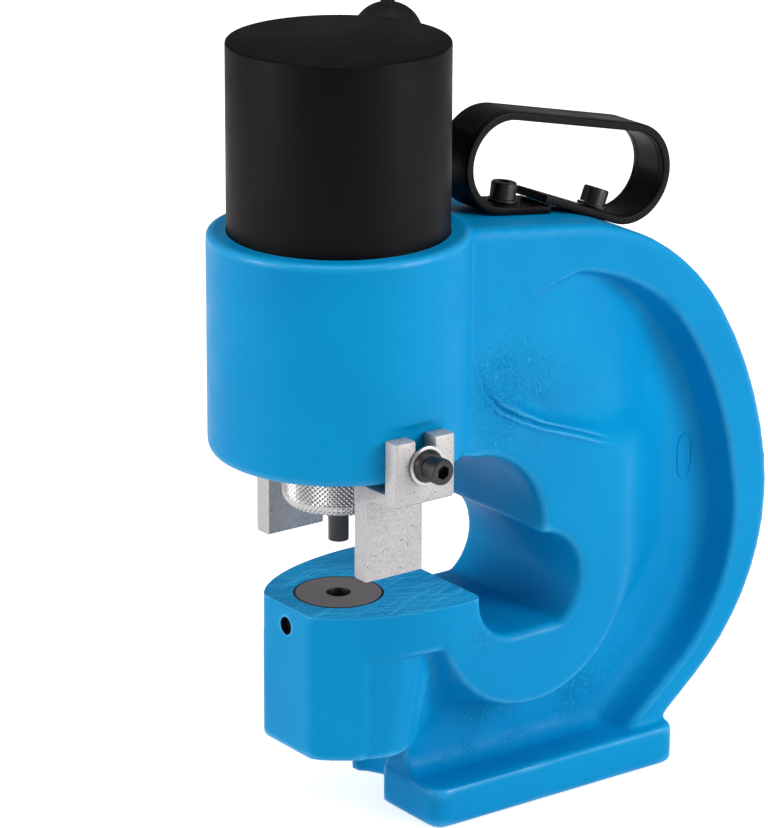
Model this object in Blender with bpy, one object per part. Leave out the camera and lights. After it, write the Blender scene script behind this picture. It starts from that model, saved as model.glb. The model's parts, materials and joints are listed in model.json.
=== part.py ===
"""Hydraulic hole punch: a cast C-frame with a screwed-in, spring-return cylinder on top,
a punch held to the ram by a knurled nut, a die in the anvil and two adjustable strippers.

Metres, +Z up. The foot stands on z = 0. +X runs from the punch to the back of the frame,
and the origin is the middle of the tool's length and width, on the floor.
"""
import math

import bmesh
import bpy
from mathutils import Matrix, Vector

for old in list(bpy.data.objects):
    bpy.data.objects.remove(old, do_unlink=True)

# Fits shared by the whole tool
GAP = 0.0003
OVERRUN = 0.003
WELD = 0.000005
ROUND_STEPS = 64
INNER_STEPS = 32
SMALL_STEPS = 20

# Casting: the round housing that holds the cylinder
HOUSING_RADIUS = 0.0625
HOUSING_BOTTOM = 0.1918
HOUSING_HEIGHT = 0.1079
HOUSING_FLOOR = 0.0225
HOUSING_TOP_EDGE = 0.002
HOUSING_BOTTOM_EDGE = 0.005
NUT_CLEARANCE = 0.0016
NUT_HEADROOM = 0.0025

# Casting: the C-frame's outer line, as three arcs and a sloping top
FRAME_REACH = 0.243
FRAME_HALF_WIDTH = 0.036
FRAME_EDGE = 0.005
RAMP_START_REACH = 0.0538
BACK_HEIGHT = 0.1324
TOP_RADIUS = 0.1274
BACK_RADIUS = 0.210
LOWER_RADIUS = 0.1214
TOP_ANGLE = 82.7
SHOULDER_ANGLE = 32.5
BACK_ANGLE = 8.4
LOWER_ANGLE = -50.0
RIM_THICKNESS = 0.024
RIM_TOE_THICKNESS = 0.016
WEB_HALF_WIDTH = 0.015
POCKET_CORNER = 0.012
POCKET_WALL_REACH = 0.014
POCKET_EDGE_DRAW_SHARE = 0.5
POCKET_WALL_SHARES = ((0.0, 1.0), (0.04, 0.6), (0.16, 0.3), (0.45, 0.12), (0.85, 0.0), (0.97, -0.08),
                      (1.0, -0.2))
POCKET_EDGE_REACH = 0.0521
POCKET_EDGE_DROP = 0.0492
POCKET_EDGE_ANGLE = 13.9
DISH_REACH = 0.187
DISH_LOW_START = 0.118
DISH_HIGH_START = 0.090
DISH_LOW_HALF_WIDTH = 0.0405
DISH_HIGH_HALF_WIDTH = 0.0345
DISH_FADE = 0.075
DISH_LOW_DROP = 0.0018
DISH_RISE = 0.065

# Casting: the throat, two round lobes that meet in a cusp
UPPER_LOBE_REACH = 0.046
UPPER_LOBE_DROP = 0.0458
UPPER_LOBE_RADIUS = 0.043
LOWER_LOBE_REACH = 0.086
LOWER_LOBE_DROP = 0.0021
LOWER_LOBE_RADIUS = 0.0266
THROAT_DEPTH = 0.0235
THROAT_MOUTH_EDGE = 0.004
ANVIL_HEEL_REACH = 0.0516
ANVIL_HEEL_RADIUS = 0.020

# Casting: the thick boss round the throat
BOSS_HALF_WIDTH = 0.047
BOSS_EDGE = 0.005
BOSS_TOP_DROP = 0.0497
BOSS_SLOPE_DROP = 0.1077
BOSS_CREST_RADIUS = 0.045
BOSS_CREST_REACH = 0.056
BOSS_CREST_RISE = 0.0175
BOSS_CREST_ANGLE = 20.2
BOSS_CORNER = 0.014
BOSS_WALL_SHARES = ((1.0, 0.0), (0.97, 0.08), (0.88, 0.22), (0.68, 0.42), (0.45, 0.62), (0.23, 0.82),
                    (0.08, 1.0), (-0.02, 1.2))
BOSS_WALL_REACH = 0.009
BOSS_SIDE_REACH = 0.044
BOSS_TOP_HALF_WIDTH = 0.031
BOSS_BACK_REACH = 0.1375
BOSS_RADIUS = 0.054
BOSS_CENTRE_HEIGHT = 0.111
BOSS_LOWEST_ANGLE = -152.0
BOSS_FRONT_REACH = 0.031
BOSS_FRONT_HEIGHT = 0.095

# Casting: the anvil that carries the die
ANVIL_TOP = 0.1179
ANVIL_HEIGHT = 0.0739
ANVIL_FRONT = 0.031
ANVIL_NOSE_CENTRE = 0.040
ANVIL_NOSE_LENGTH = 0.078
ANVIL_FRONT_CORNER = 0.008
ANVIL_EDGE = 0.006
ANVIL_RECESS_START = 0.010
ANVIL_RECESS_DEPTH = 0.0015
ANVIL_LEDGE_EDGE = 0.0015
FLANK_END = 0.120
UPPER_FLANK_START = -0.010
UPPER_FLANK_LENGTH = 0.130
LOWER_FLANK_LENGTH = 0.050
WEB_FOOT_FILLET = 0.008
WEB_FOOT_FILLET_SHARES = ((-0.2, 1.0), (0.0, 1.0), (0.2, 0.57), (0.5, 0.25), (1.0, 0.04))
WEB_FOOT_END = 0.160

# Casting: the foot
FOOT_FRONT_REACH = 0.028
FOOT_REAR_REACH = 0.180
FOOT_HALF_WIDTH = 0.043
FOOT_THICKNESS = 0.0204
FOOT_CORNER = 0.008
FOOT_EDGE = 0.0015
FOOT_RELIEF_RADIUS = 0.022
FOOT_RELIEF_REACH = 0.026
FOOT_RELIEF_OFFSET = 0.0235

# Hydraulic cylinder
BARREL_RADIUS = 0.0528
BARREL_HEIGHT = 0.1762
BARREL_CROWN = 0.0345
BARREL_EDGE = 0.0015
BORE_RADIUS = 0.040
SPRING_SPACE = 0.104
PISTON_HEIGHT = 0.0277
PISTON_CROWN_RADIUS = 0.030
PISTON_CROWN_HEIGHT = 0.006
PISTON_HEAD_WALL = 0.003
GROOVE_DEPTH = 0.0042
SEAL_GROOVE_HEIGHT = 0.006
SEAL_GROOVE_RISE = 0.0147
WEAR_GROOVE_RISE = 0.0047
RAM_RADIUS = 0.020
RAM_LENGTH = 0.1337
SPIGOT_RADIUS = 0.014
SPIGOT_HEIGHT = 0.0197
CROWN_SCREW_RADIUS = 0.008
CROWN_SCREW_HEAD = 0.0125
CROWN_SCREW_DEPTH = 0.026
CROWN_SCREW_HEAD_HEIGHT = 0.0107
BUSH_RADIUS = 0.0267
BUSH_DEPTH = 0.010
WIPER_RADIUS = 0.0247
WIPER_HEIGHT = 0.0034

# Return spring
SPRING_MEAN_RADIUS = 0.0305
SPRING_WIRE_RADIUS = 0.0035
SPRING_TURNS = 8
SPRING_POINTS_PER_TURN = 10
SPRING_END_GAP = 0.0008

# Coupling nut, punch and die
NUT_RADIUS = 0.027
NUT_REACH = 0.0199
NUT_HEIGHT = 0.031
NUT_CORNER = 0.006
NUT_EDGE = 0.001
NUT_HOLE_RADIUS = 0.008
NUT_FLOOR = 0.0075
PUNCH_RADIUS = 0.005
PUNCH_REACH = 0.0194
PUNCH_HEAD_RADIUS = 0.011
PUNCH_TAPER_HEIGHT = 0.005
DIE_RADIUS = 0.0217
DIE_HEIGHT = 0.025
DIE_EDGE = 0.0006
DIE_HOLE_RADIUS = 0.0056
DIE_LAND = 0.008
DIE_RELIEF_RADIUS = 0.0075
DIE_GROOVE_DEPTH = 0.002
DIE_GROOVE_HALF_HEIGHT = 0.003
SLUG_HOLE_RADIUS = 0.009
SET_SCREW_RADIUS = 0.0042
SET_SCREW_DROP = 0.0105
SET_SCREW_SUNK = 0.0035
SET_SCREW_SOCKET_RADIUS = 0.0026
SET_SCREW_SOCKET_DEPTH = 0.004

# Strippers, each held by one screw in an open slot
STRIPPER_HALF_WIDTH = 0.017
STRIPPER_FACE = 0.0603
STRIPPER_PLATE_THICKNESS = 0.009
STRIPPER_DROP = 0.0086
STRIPPER_PLATE_HEIGHT = 0.0316
STRIPPER_SLOT_HALF_WIDTH = 0.0059
STRIPPER_SLOT_RISE = 0.0119
STRIPPER_LEG_HALF_WIDTH = 0.016
STRIPPER_LEG_FACE = 0.0355
STRIPPER_LEG_THICKNESS = 0.010
STRIPPER_LEG_LENGTH = 0.0434
STRIPPER_SHELF_THICKNESS = 0.0053
STRIPPER_EDGE = 0.001
STRIPPER_STEP_RADIUS = 0.005
STRIPPER_FLAT_FACE = 0.060
STRIPPER_FLAT_HEIGHT = 0.0277
CLAMP_RISE = 0.0012
CLAMP_WASHER_RADIUS = 0.0096
CLAMP_WASHER_THICKNESS = 0.0016
CLAMP_SPACER_RADIUS = 0.0082
CLAMP_SPACER_TIP_RADIUS = 0.0066
CLAMP_SPACER_THICKNESS = 0.0034
CLAMP_THREAD_DEPTH = 0.015

# Socket-head screws, one size for the clamps and the handle
SCREW_RADIUS = 0.004
SCREW_HEAD_RADIUS = 0.0064
SCREW_HEAD_HEIGHT = 0.008
SCREW_HEAD_EDGE = 0.0005
SOCKET_RADIUS = 0.0035
SOCKET_DEPTH = 0.0045

# Carrying handle: a bent steel strap
STRAP_THICKNESS = 0.0041
STRAP_HALF_WIDTH = 0.012
LOOP_RADIUS = 0.0253
LOOP_FRONT_REACH = 0.0884
STRAP_FRONT_END = 0.0292
STRAP_REAR_END = 0.0475
STRAP_EDGE = 0.0006
STRAP_BEND_STEPS = 12
REAR_SEAT_ANGLE = 68.45
REAR_SEAT_DEPTH = 0.0005
REAR_SEAT_HALF_LENGTH = 0.013
HANDLE_SCREW_SETBACK = 0.0078
HANDLE_SCREW_DEPTH = 0.020
HANDLE_WASHER_RADIUS = 0.0074
HANDLE_WASHER_THICKNESS = 0.0014

# Oil inlet: elbow, quick coupler and dust cap at the back of the barrel
PORT_ANGLE = 36.4
PORT_DROP = 0.007
PORT_RADIUS = 0.003
PORT_THREAD_RADIUS = 0.008
PORT_THREAD_DEPTH = 0.009
INLET_REACH = 0.0755
ELBOW_RADIUS = 0.0105
ELBOW_HEX_RADIUS = 0.0135
ELBOW_HEX_WIDTH = 0.008
ELBOW_RISE = 0.0115
ELBOW_BORE_RADIUS = 0.004
COUPLER_HEX_RADIUS = 0.0139
COUPLER_HEX_HEIGHT = 0.0045
COUPLER_NOSE_RADIUS = 0.0135
COUPLER_NOSE_HEIGHT = 0.0147
COUPLER_BORE_RADIUS = 0.0075
COUPLER_FLOOR = 0.004
COUPLER_LIP = 0.003
COUPLER_MOUTH_RADIUS = 0.0055
POPPET_HEAD_RADIUS = 0.0071
POPPET_HEAD_HEIGHT = 0.003
POPPET_NOSE_RADIUS = 0.0048
POPPET_STEM_RADIUS = 0.002
POPPET_STEM_LENGTH = 0.002
POPPET_SPRING_RADIUS = 0.0048
POPPET_SPRING_WIRE = 0.0005
POPPET_SPRING_TURNS = 4
CAP_RADIUS = 0.0172
CAP_RISE = 0.0122
CAP_DOME_RADIUS = 0.0165
CAP_CROWN_THICKNESS = 0.003
CAP_NUB_RADIUS = 0.0035
CAP_NUB_HEIGHT = 0.0008

# Places worked out from the sizes above
PUNCH_X = -(FRAME_REACH - HOUSING_RADIUS) / 2
HOUSING_TOP = HOUSING_BOTTOM + HOUSING_HEIGHT
BARREL_SEAT = HOUSING_BOTTOM + HOUSING_FLOOR
BARREL_TOP = BARREL_SEAT + BARREL_HEIGHT
CHAMBER_TOP = BARREL_TOP - BARREL_CROWN
UPPER_LOBE_HEIGHT = HOUSING_BOTTOM - UPPER_LOBE_DROP
DISH_LOW = HOUSING_BOTTOM - DISH_LOW_DROP
DISH_HIGH = DISH_LOW + DISH_RISE
LOWER_LOBE_HEIGHT = ANVIL_TOP - LOWER_LOBE_DROP
THROAT_FLOOR = ANVIL_TOP - THROAT_DEPTH
ANVIL_BOTTOM = ANVIL_TOP - ANVIL_HEIGHT
PISTON_BOTTOM = BARREL_SEAT + SPRING_SPACE
PISTON_TOP = PISTON_BOTTOM + PISTON_HEIGHT
RAM_BOTTOM = PISTON_BOTTOM - RAM_LENGTH
BUSH_BOTTOM = BARREL_SEAT - BUSH_DEPTH
NUT_BOTTOM = RAM_BOTTOM - NUT_REACH
PUNCH_TIP = NUT_BOTTOM - PUNCH_REACH
DIE_BOTTOM = ANVIL_TOP - DIE_HEIGHT
STRIPPER_PLATE_BOTTOM = HOUSING_BOTTOM - STRIPPER_DROP
STRIPPER_TOP = STRIPPER_PLATE_BOTTOM + STRIPPER_PLATE_HEIGHT
STRIPPER_SHELF_TOP = STRIPPER_PLATE_BOTTOM + STRIPPER_SHELF_THICKNESS
STRIPPER_SLOT_BOTTOM = STRIPPER_PLATE_BOTTOM + STRIPPER_SLOT_RISE
STRIPPER_LEG_BOTTOM = STRIPPER_PLATE_BOTTOM - STRIPPER_LEG_LENGTH
CLAMP_HEIGHT = STRIPPER_SLOT_BOTTOM + STRIPPER_SLOT_HALF_WIDTH + CLAMP_RISE
PORT_HEIGHT = CHAMBER_TOP - PORT_DROP
SET_SCREW_HEIGHT = ANVIL_TOP - SET_SCREW_DROP
INLET_PLACE = (PUNCH_X + INLET_REACH * math.cos(math.radians(PORT_ANGLE)),
               INLET_REACH * math.sin(math.radians(PORT_ANGLE)), 0.0)
COUPLER_BOTTOM = PORT_HEIGHT + ELBOW_RISE + GAP
NOSE_BOTTOM = COUPLER_BOTTOM + COUPLER_HEX_HEIGHT
NOSE_TOP = NOSE_BOTTOM + COUPLER_NOSE_HEIGHT
CAP_TOP = NOSE_TOP + CAP_RISE

PAINT_BLUE = ((0.009, 0.305, 0.642), 0.32, 0.0)
BLACK_OXIDE = ((0.013, 0.012, 0.013), 0.42, 0.6)
BLACK_SATIN = ((0.012, 0.011, 0.012), 0.45, 0.1)
GROUND_STEEL = ((0.58, 0.57, 0.57), 0.38, 1.0)
BRIGHT_STEEL = ((0.66, 0.65, 0.64), 0.24, 1.0)
CAST_STEEL = ((0.55, 0.54, 0.54), 0.55, 0.9)
DIE_STEEL = ((0.145, 0.125, 0.122), 0.4, 0.9)
SPRING_STEEL = ((0.20, 0.20, 0.21), 0.35, 0.9)
BRONZE = ((0.50, 0.32, 0.12), 0.4, 1.0)
RUBBER_BLACK = ((0.010, 0.010, 0.010), 0.7, 0.0)
NITRILE = ((0.02, 0.02, 0.02), 0.6, 0.0)
ZINC = ((0.62, 0.62, 0.60), 0.35, 1.0)


def material(name, look):
    """One Principled material for each sub-part."""
    colour, roughness, metallic = look
    made = bpy.data.materials.new(name)
    made.use_nodes = True
    shader = made.node_tree.nodes["Principled BSDF"]
    shader.inputs["Base Color"].default_value = (*colour, 1.0)
    shader.inputs["Roughness"].default_value = roughness
    shader.inputs["Metallic"].default_value = metallic
    return made


def mesh_object(name, mesh):
    thing = bpy.data.objects.new(name, mesh)
    bpy.context.scene.collection.objects.link(thing)
    return thing


def from_bmesh(name, shape):
    bmesh.ops.recalc_face_normals(shape, faces=shape.faces)
    mesh = bpy.data.meshes.new(name)
    shape.to_mesh(mesh)
    shape.free()
    return mesh_object(name, mesh)


def settle(thing):
    """Turn the object's modifiers into plain mesh."""
    bpy.context.view_layer.update()
    seen = thing.evaluated_get(bpy.context.evaluated_depsgraph_get())
    mesh = bpy.data.meshes.new_from_object(seen)
    thing.modifiers.clear()
    thing.data = mesh
    return thing


def weld(thing):
    """Merge the near-coincident points that a Boolean leaves where faces are level."""
    shape = bmesh.new()
    shape.from_mesh(thing.data)
    bmesh.ops.remove_doubles(shape, verts=shape.verts, dist=WELD)
    bmesh.ops.dissolve_degenerate(shape, edges=shape.edges, dist=WELD)
    shape.to_mesh(thing.data)
    shape.free()
    return thing


def combine(target, tool, operation):
    step = target.modifiers.new(operation.title(), "BOOLEAN")
    step.operation = operation
    step.object = tool
    settle(target)
    bpy.data.objects.remove(tool, do_unlink=True)
    return weld(target)


def cut(target, tool):
    return combine(target, tool, "DIFFERENCE")


def join(target, tool):
    return combine(target, tool, "UNION")


def soften(thing, width, segments=2, angle=40.0):
    """Round every edge that is sharper than the angle."""
    step = thing.modifiers.new("Bevel", "BEVEL")
    step.width = width
    step.segments = segments
    step.limit_method = "ANGLE"
    step.angle_limit = math.radians(angle)
    return settle(thing)


def finish(thing, name, look, parent=None):
    """Name, shade and colour a finished sub-part."""
    thing.name = name
    if thing.type == "MESH":
        thing.data.name = name
        thing.data.shade_smooth()
        thing.data.set_sharp_from_angle(angle=math.radians(35.0))
        thing.data.materials.clear()
    thing.data.materials.append(material(name, look))
    if parent is not None:
        bpy.context.view_layer.update()
        thing.parent = parent
        thing.matrix_parent_inverse = parent.matrix_world.inverted()
    return thing


def joint_empty(name, place):
    """An empty on a joint's axis, for the pieces that move there."""
    empty = bpy.data.objects.new(name, None)
    empty.location = place
    bpy.context.scene.collection.objects.link(empty)
    bpy.context.view_layer.update()
    return empty


def arc(centre, radius, start, end, steps):
    """Points of an arc, angles in degrees from the first axis."""
    angles = [math.radians(start + (end - start) * i / steps) for i in range(steps + 1)]
    return [(centre[0] + radius * math.cos(a), centre[1] + radius * math.sin(a)) for a in angles]


def rounded(corners, steps=4):
    """An outline whose corners (a, b, radius) are rounded where the radius isn't zero."""
    points = []
    count = len(corners)
    for i, (a, b, radius) in enumerate(corners):
        here = Vector((a, b))
        if radius == 0:
            points.append((a, b))
            continue
        back = (Vector(corners[i - 1][:2]) - here).normalized()
        ahead = (Vector(corners[(i + 1) % count][:2]) - here).normalized()
        half = back.angle(ahead) / 2
        centre = here + (back + ahead).normalized() * (radius / math.sin(half))
        first = here + back * (radius / math.tan(half)) - centre
        sweep = math.copysign(math.pi - 2 * half, back.x * ahead.y - back.y * ahead.x)
        for k in range(steps + 1):
            points.append(tuple(centre + Matrix.Rotation(-sweep * k / steps, 2) @ first))
    return points


def prism(outline, low, high, axis="Y"):
    """Extrude an outline: (x, z) along Y, (x, y) along Z, or (y, z) along X."""
    place = {"Y": lambda a, b, t: (a, t, b), "Z": lambda a, b, t: (a, b, t),
             "X": lambda a, b, t: (t, a, b)}[axis]
    shape = bmesh.new()
    base = shape.faces.new([shape.verts.new(place(a, b, low)) for a, b in outline])
    grown = bmesh.ops.extrude_face_region(shape, geom=[base])["geom"]
    shift = Vector(place(0, 0, high)) - Vector(place(0, 0, low))
    moved = [part for part in grown if isinstance(part, bmesh.types.BMVert)]
    bmesh.ops.translate(shape, verts=moved, vec=shift)
    return from_bmesh("prism", shape)


def loft(rings):
    """A closed solid through rings of points that have the same count."""
    shape = bmesh.new()
    made = [[shape.verts.new(point) for point in ring] for ring in rings]
    count = len(rings[0])
    for low, high in zip(made, made[1:]):
        for i in range(count):
            j = (i + 1) % count
            shape.faces.new((low[i], low[j], high[j], high[i]))
    shape.faces.new(made[0])
    shape.faces.new(made[-1])
    return from_bmesh("loft", shape)


def turned(profile, place=(PUNCH_X, 0, 0), way=(0, 0, 1), steps=ROUND_STEPS, hollow=False):
    """Spin a profile of (radius, distance) about the line that leaves the place this way."""
    shape = bmesh.new()
    corners = [shape.verts.new((radius, 0, height)) for radius, height in profile]
    wire = [shape.edges.new(pair) for pair in zip(corners, corners[1:])]
    if hollow:
        wire.append(shape.edges.new((corners[-1], corners[0])))
    bmesh.ops.spin(shape, geom=corners + wire, cent=(0, 0, 0), axis=(0, 0, 1),
                   angle=2 * math.pi, steps=steps, use_merge=True, use_duplicate=False)
    bmesh.ops.remove_doubles(shape, verts=shape.verts, dist=WELD)
    aim = Vector(way).to_track_quat("Z", "Y").to_matrix().to_4x4()
    bmesh.ops.transform(shape, matrix=Matrix.Translation(place) @ aim, verts=shape.verts)
    return from_bmesh("turned", shape)


def rod(start, end, radius, steps=SMALL_STEPS):
    """A round bar between two points."""
    start = Vector(start)
    along = Vector(end) - start
    shape = bmesh.new()
    turn = along.to_track_quat("Z", "Y").to_matrix().to_4x4()
    bmesh.ops.create_cone(shape, cap_ends=True, segments=steps, radius1=radius, radius2=radius,
                          depth=along.length, matrix=Matrix.Translation(start + along / 2) @ turn)
    return from_bmesh("rod", shape)


def reach(distance):
    """World X of a place this far behind the punch's axis."""
    return PUNCH_X + distance


def fillet_profile(radius, corner, centre_height, start, end, steps=3):
    """Rounded corner of a turned profile, swept between two angles."""
    return arc((radius - corner, centre_height), corner, start, end, steps)


def frame_arcs():
    """Centres of the outline's top, back and lower arcs in (x, z)."""
    lower = Vector((reach(FRAME_REACH - LOWER_RADIUS), BACK_HEIGHT))
    back = lower + (LOWER_RADIUS - BACK_RADIUS) * heading(BACK_ANGLE)
    top = back + (BACK_RADIUS - TOP_RADIUS) * heading(SHOULDER_ANGLE)
    return top, back, lower


def heading(angle):
    return Vector((math.cos(math.radians(angle)), math.sin(math.radians(angle))))


def frame_outline(inset=0.0, toe_inset=0.0):
    """The C-frame's outer line from the housing round to the foot, moved in by the insets."""
    top, back, lower = frame_arcs()
    points = arc(top, TOP_RADIUS - inset, TOP_ANGLE, SHOULDER_ANGLE, 9)
    points += arc(back, BACK_RADIUS - inset, SHOULDER_ANGLE, BACK_ANGLE, 5)[1:]
    steps = 10
    for i in range(1, steps + 1):
        share = i / steps
        radius = LOWER_RADIUS - inset - (toe_inset - inset) * share
        points.append(tuple(lower + radius * heading(BACK_ANGLE + (LOWER_ANGLE - BACK_ANGLE) * share)))
    slope = math.tan(math.radians(90.0 - TOP_ANGLE))
    start = reach(RAMP_START_REACH)
    foot_level = FOOT_THICKNESS / 2
    run = (points[-1][1] - foot_level) * math.tan(math.radians(-LOWER_ANGLE))
    end = (points[-1][0] - run, foot_level)
    return [(start, points[0][1] + slope * (points[0][0] - start))] + points + [end]


def pocket_ring(side, depth, draw):
    """One ring of the pocket's cutter at a distance from the middle plane, drawn in from the rim."""
    line = frame_outline(RIM_THICKNESS + draw, RIM_TOE_THICKNESS + draw)
    tangent = math.tan(math.radians(POCKET_EDGE_ANGLE))
    edge_height = HOUSING_TOP - POCKET_EDGE_DROP - draw * POCKET_EDGE_DRAW_SHARE
    slope = (line[2][1] - line[1][1]) / (line[2][0] - line[1][0])
    gap = line[1][1] - edge_height - slope * (line[1][0] - reach(POCKET_EDGE_REACH))
    corner_x = reach(POCKET_EDGE_REACH) + gap / (tangent - slope)
    corner_z = edge_height + tangent * (corner_x - reach(POCKET_EDGE_REACH))
    far_x = reach(-HOUSING_RADIUS)
    far_z = edge_height + tangent * (far_x - reach(POCKET_EDGE_REACH))
    corner = [(far_x, far_z, 0), (corner_x, corner_z, POCKET_CORNER), (*line[2], 0)]
    outline = rounded(corner)[:-1] + line[2:] + [(far_x, line[-1][1])]
    return [(x, side * depth, z) for x, z in outline]


def pocket(side):
    """Cutter for the dished pocket: it leaves the web, a soft corner and the rim's rounded brim."""
    depth = FRAME_HALF_WIDTH - WEB_HALF_WIDTH
    rings = []
    for rise_share, reach_share in POCKET_WALL_SHARES:
        draw = POCKET_WALL_REACH * reach_share
        rings.append(pocket_ring(side, WEB_HALF_WIDTH + depth * rise_share, draw))
    rings.append(pocket_ring(side, FRAME_HALF_WIDTH + OVERRUN, draw))
    return loft(rings)


def dish_half_width(distance, height):
    """Half the web's width: it falls from the boss's shoulder and the pocket's edge to the plain web."""
    rise = min(1.0, max(0.0, (height - DISH_LOW) / (DISH_HIGH - DISH_LOW)))
    start = DISH_LOW_START + (DISH_HIGH_START - DISH_LOW_START) * rise
    most = DISH_LOW_HALF_WIDTH + (DISH_HIGH_HALF_WIDTH - DISH_LOW_HALF_WIDTH) * rise
    out = max(0.0, distance - start) / (DISH_REACH - start)
    down = max(0.0, DISH_LOW - height) / DISH_FADE
    share = min(1.0, out ** 2 + down ** 2)
    return WEB_HALF_WIDTH - GAP + (most - WEB_HALF_WIDTH) * (1 - share) ** 2


def dish():
    """The web's thicker part towards the housing, which makes the pocket's floor a dish."""
    near = POCKET_EDGE_REACH / 2
    low = DISH_LOW - DISH_FADE
    high = HOUSING_TOP - RIM_THICKNESS
    columns = 11
    rows = 9
    heights = [low + (high - low) * j / rows for j in range(rows + 1)]
    rings = []
    for i in range(columns + 1):
        distance = near + (DISH_REACH - near) * i / columns
        halves = [dish_half_width(distance, height) for height in heights]
        one = [(reach(distance), half, height) for half, height in zip(halves, heights)]
        rings.append(one + [(x, -y, z) for x, y, z in reversed(one)])
    keep = frame_outline(RIM_THICKNESS / 2, RIM_THICKNESS / 2)
    keep += [(reach(-HOUSING_RADIUS), keep[-1][1]), (reach(-HOUSING_RADIUS), keep[0][1])]
    return combine(loft(rings), prism(keep, -BOSS_HALF_WIDTH, BOSS_HALF_WIDTH), "INTERSECT")


def throat_outline(grow, front):
    """The gap and both lobes in (x, z), let out all round, from this place at the front."""
    upper = (reach(UPPER_LOBE_REACH), UPPER_LOBE_HEIGHT)
    lower = (reach(LOWER_LOBE_REACH), LOWER_LOBE_HEIGHT)
    upper_radius = UPPER_LOBE_RADIUS + grow
    lower_radius = LOWER_LOBE_RADIUS + grow
    floor = THROAT_FLOOR - grow
    apart = Vector(lower) - Vector(upper)
    share = (upper_radius ** 2 - lower_radius ** 2 + apart.length ** 2) / (2 * apart.length)
    lift = math.sqrt(upper_radius ** 2 - share ** 2)
    way = apart.normalized()
    cusp = Vector(upper) + way * share + Vector((-way.y, way.x)) * lift
    upper_end = math.degrees(math.atan2(cusp.y - upper[1], cusp.x - upper[0]))
    lower_start = math.degrees(math.atan2(cusp.y - lower[1], cusp.x - lower[0]))
    lower_end = math.degrees(math.asin((floor - LOWER_LOBE_HEIGHT) / lower_radius))
    heel = (reach(ANVIL_HEEL_REACH + ANVIL_HEEL_RADIUS), THROAT_FLOOR + ANVIL_HEEL_RADIUS)
    outline = [(front, HOUSING_BOTTOM), (reach(UPPER_LOBE_REACH - BOSS_EDGE), HOUSING_BOTTOM)]
    outline += arc(upper, upper_radius, 90.0, upper_end, 12)
    outline += arc(lower, lower_radius, lower_start, lower_end, 14)[1:]
    outline += arc(heel, ANVIL_HEEL_RADIUS + grow, -90.0, -180.0, 6)
    return outline + [(reach(ANVIL_HEEL_REACH) - grow, ANVIL_TOP), (front, ANVIL_TOP)]


def throat():
    """Cutter for the throat, right through the frame."""
    width = HOUSING_RADIUS + OVERRUN
    return prism(throat_outline(0, reach(-HOUSING_RADIUS - OVERRUN)), -width, width)


def throat_mouth(side):
    """Cutter that rounds the throat's edge on one face of the boss."""
    rings = []
    steps = 3
    for i in range(steps + 1):
        turn = math.pi / 2 * i / steps
        depth = BOSS_HALF_WIDTH - THROAT_MOUTH_EDGE * (1 - math.sin(turn))
        grow = THROAT_MOUTH_EDGE * (1 - math.cos(turn))
        rings.append((depth, grow))
    rings.append((BOSS_HALF_WIDTH + OVERRUN, THROAT_MOUTH_EDGE))
    front = reach(0)
    ends = [(front, HOUSING_BOTTOM - OVERRUN)], [(front, ANVIL_TOP + OVERRUN)]
    outlines = [(depth, ends[0] + throat_outline(grow, front)[1:-1] + ends[1]) for depth, grow in rings]
    return loft([[(x, side * depth, z) for x, z in outline] for depth, outline in outlines])


def boss_line(share):
    """The boss's outline, let out by this share of its wall: crest, soft back and round underside."""
    grow = BOSS_WALL_REACH * share
    side_grow = BOSS_SIDE_REACH * share
    centre = (reach(BOSS_BACK_REACH - BOSS_RADIUS), BOSS_CENTRE_HEIGHT)
    steps = 14
    below = []
    for i in range(steps + 1):
        angle = BOSS_LOWEST_ANGLE * i / steps
        softness = max(0.0, 1 - i / (steps / 3))
        radius = BOSS_RADIUS + grow + (side_grow - grow) * softness
        below += arc(centre, radius, angle, angle, 1)[:1]
    start = reach(-ANVIL_RECESS_START)
    top = HOUSING_TOP - BOSS_TOP_DROP
    fall = math.tan(math.radians(BOSS_CREST_ANGLE))
    crest_x = reach(BOSS_CREST_REACH) + grow
    crest_z = HOUSING_BOTTOM + BOSS_CREST_RISE + grow * (1 - fall / 2)
    back_x = below[0][0]
    back_z = crest_z - fall * (back_x - side_grow - crest_x + grow)
    corners = [(start, top, 0), (crest_x, top, 0), (crest_x, crest_z, BOSS_CREST_RADIUS),
               (back_x, back_z, BOSS_CORNER)]
    corners += [(x, z, 0) for x, z in below]
    corners += [(reach(BOSS_FRONT_REACH) - grow, BOSS_FRONT_HEIGHT - grow / 2, BOSS_EDGE / 2),
                (reach(ANVIL_NOSE_CENTRE), UPPER_LOBE_HEIGHT, 0), (start, UPPER_LOBE_HEIGHT, 0)]
    return rounded(corners)


def boss():
    """The thick metal round the throat, wider than the rim, with walls that run out on the web."""
    rise = BOSS_HALF_WIDTH - WEB_HALF_WIDTH
    walls = [(WEB_HALF_WIDTH + rise * up, out) for up, out in BOSS_WALL_SHARES]
    walls = [(-y, share) for y, share in walls] + walls[::-1]
    body = loft([[(x, y, z) for x, z in boss_line(share)] for y, share in walls])
    width = BOSS_HALF_WIDTH
    top = HOUSING_TOP - BOSS_TOP_DROP
    bend = HOUSING_TOP - BOSS_SLOPE_DROP
    for side in (-1, 1):
        wedge = [(side * width, bend), (side * BOSS_TOP_HALF_WIDTH, top),
                 (side * BOSS_TOP_HALF_WIDTH, top + OVERRUN), (side * (width + OVERRUN), top + OVERRUN),
                 (side * (width + OVERRUN), bend)]
        cut(body, prism(wedge, reach(-HOUSING_RADIUS), reach(BOSS_BACK_REACH + BOSS_RADIUS), "X"))
    return body


def nose_half_width(distance):
    """Half the anvil's width this far behind the punch's axis: its nose is half an ellipse."""
    share = max(0.0, ANVIL_NOSE_CENTRE - distance) / ANVIL_NOSE_LENGTH
    return BOSS_HALF_WIDTH * math.sqrt(1 - share ** 2)


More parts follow.
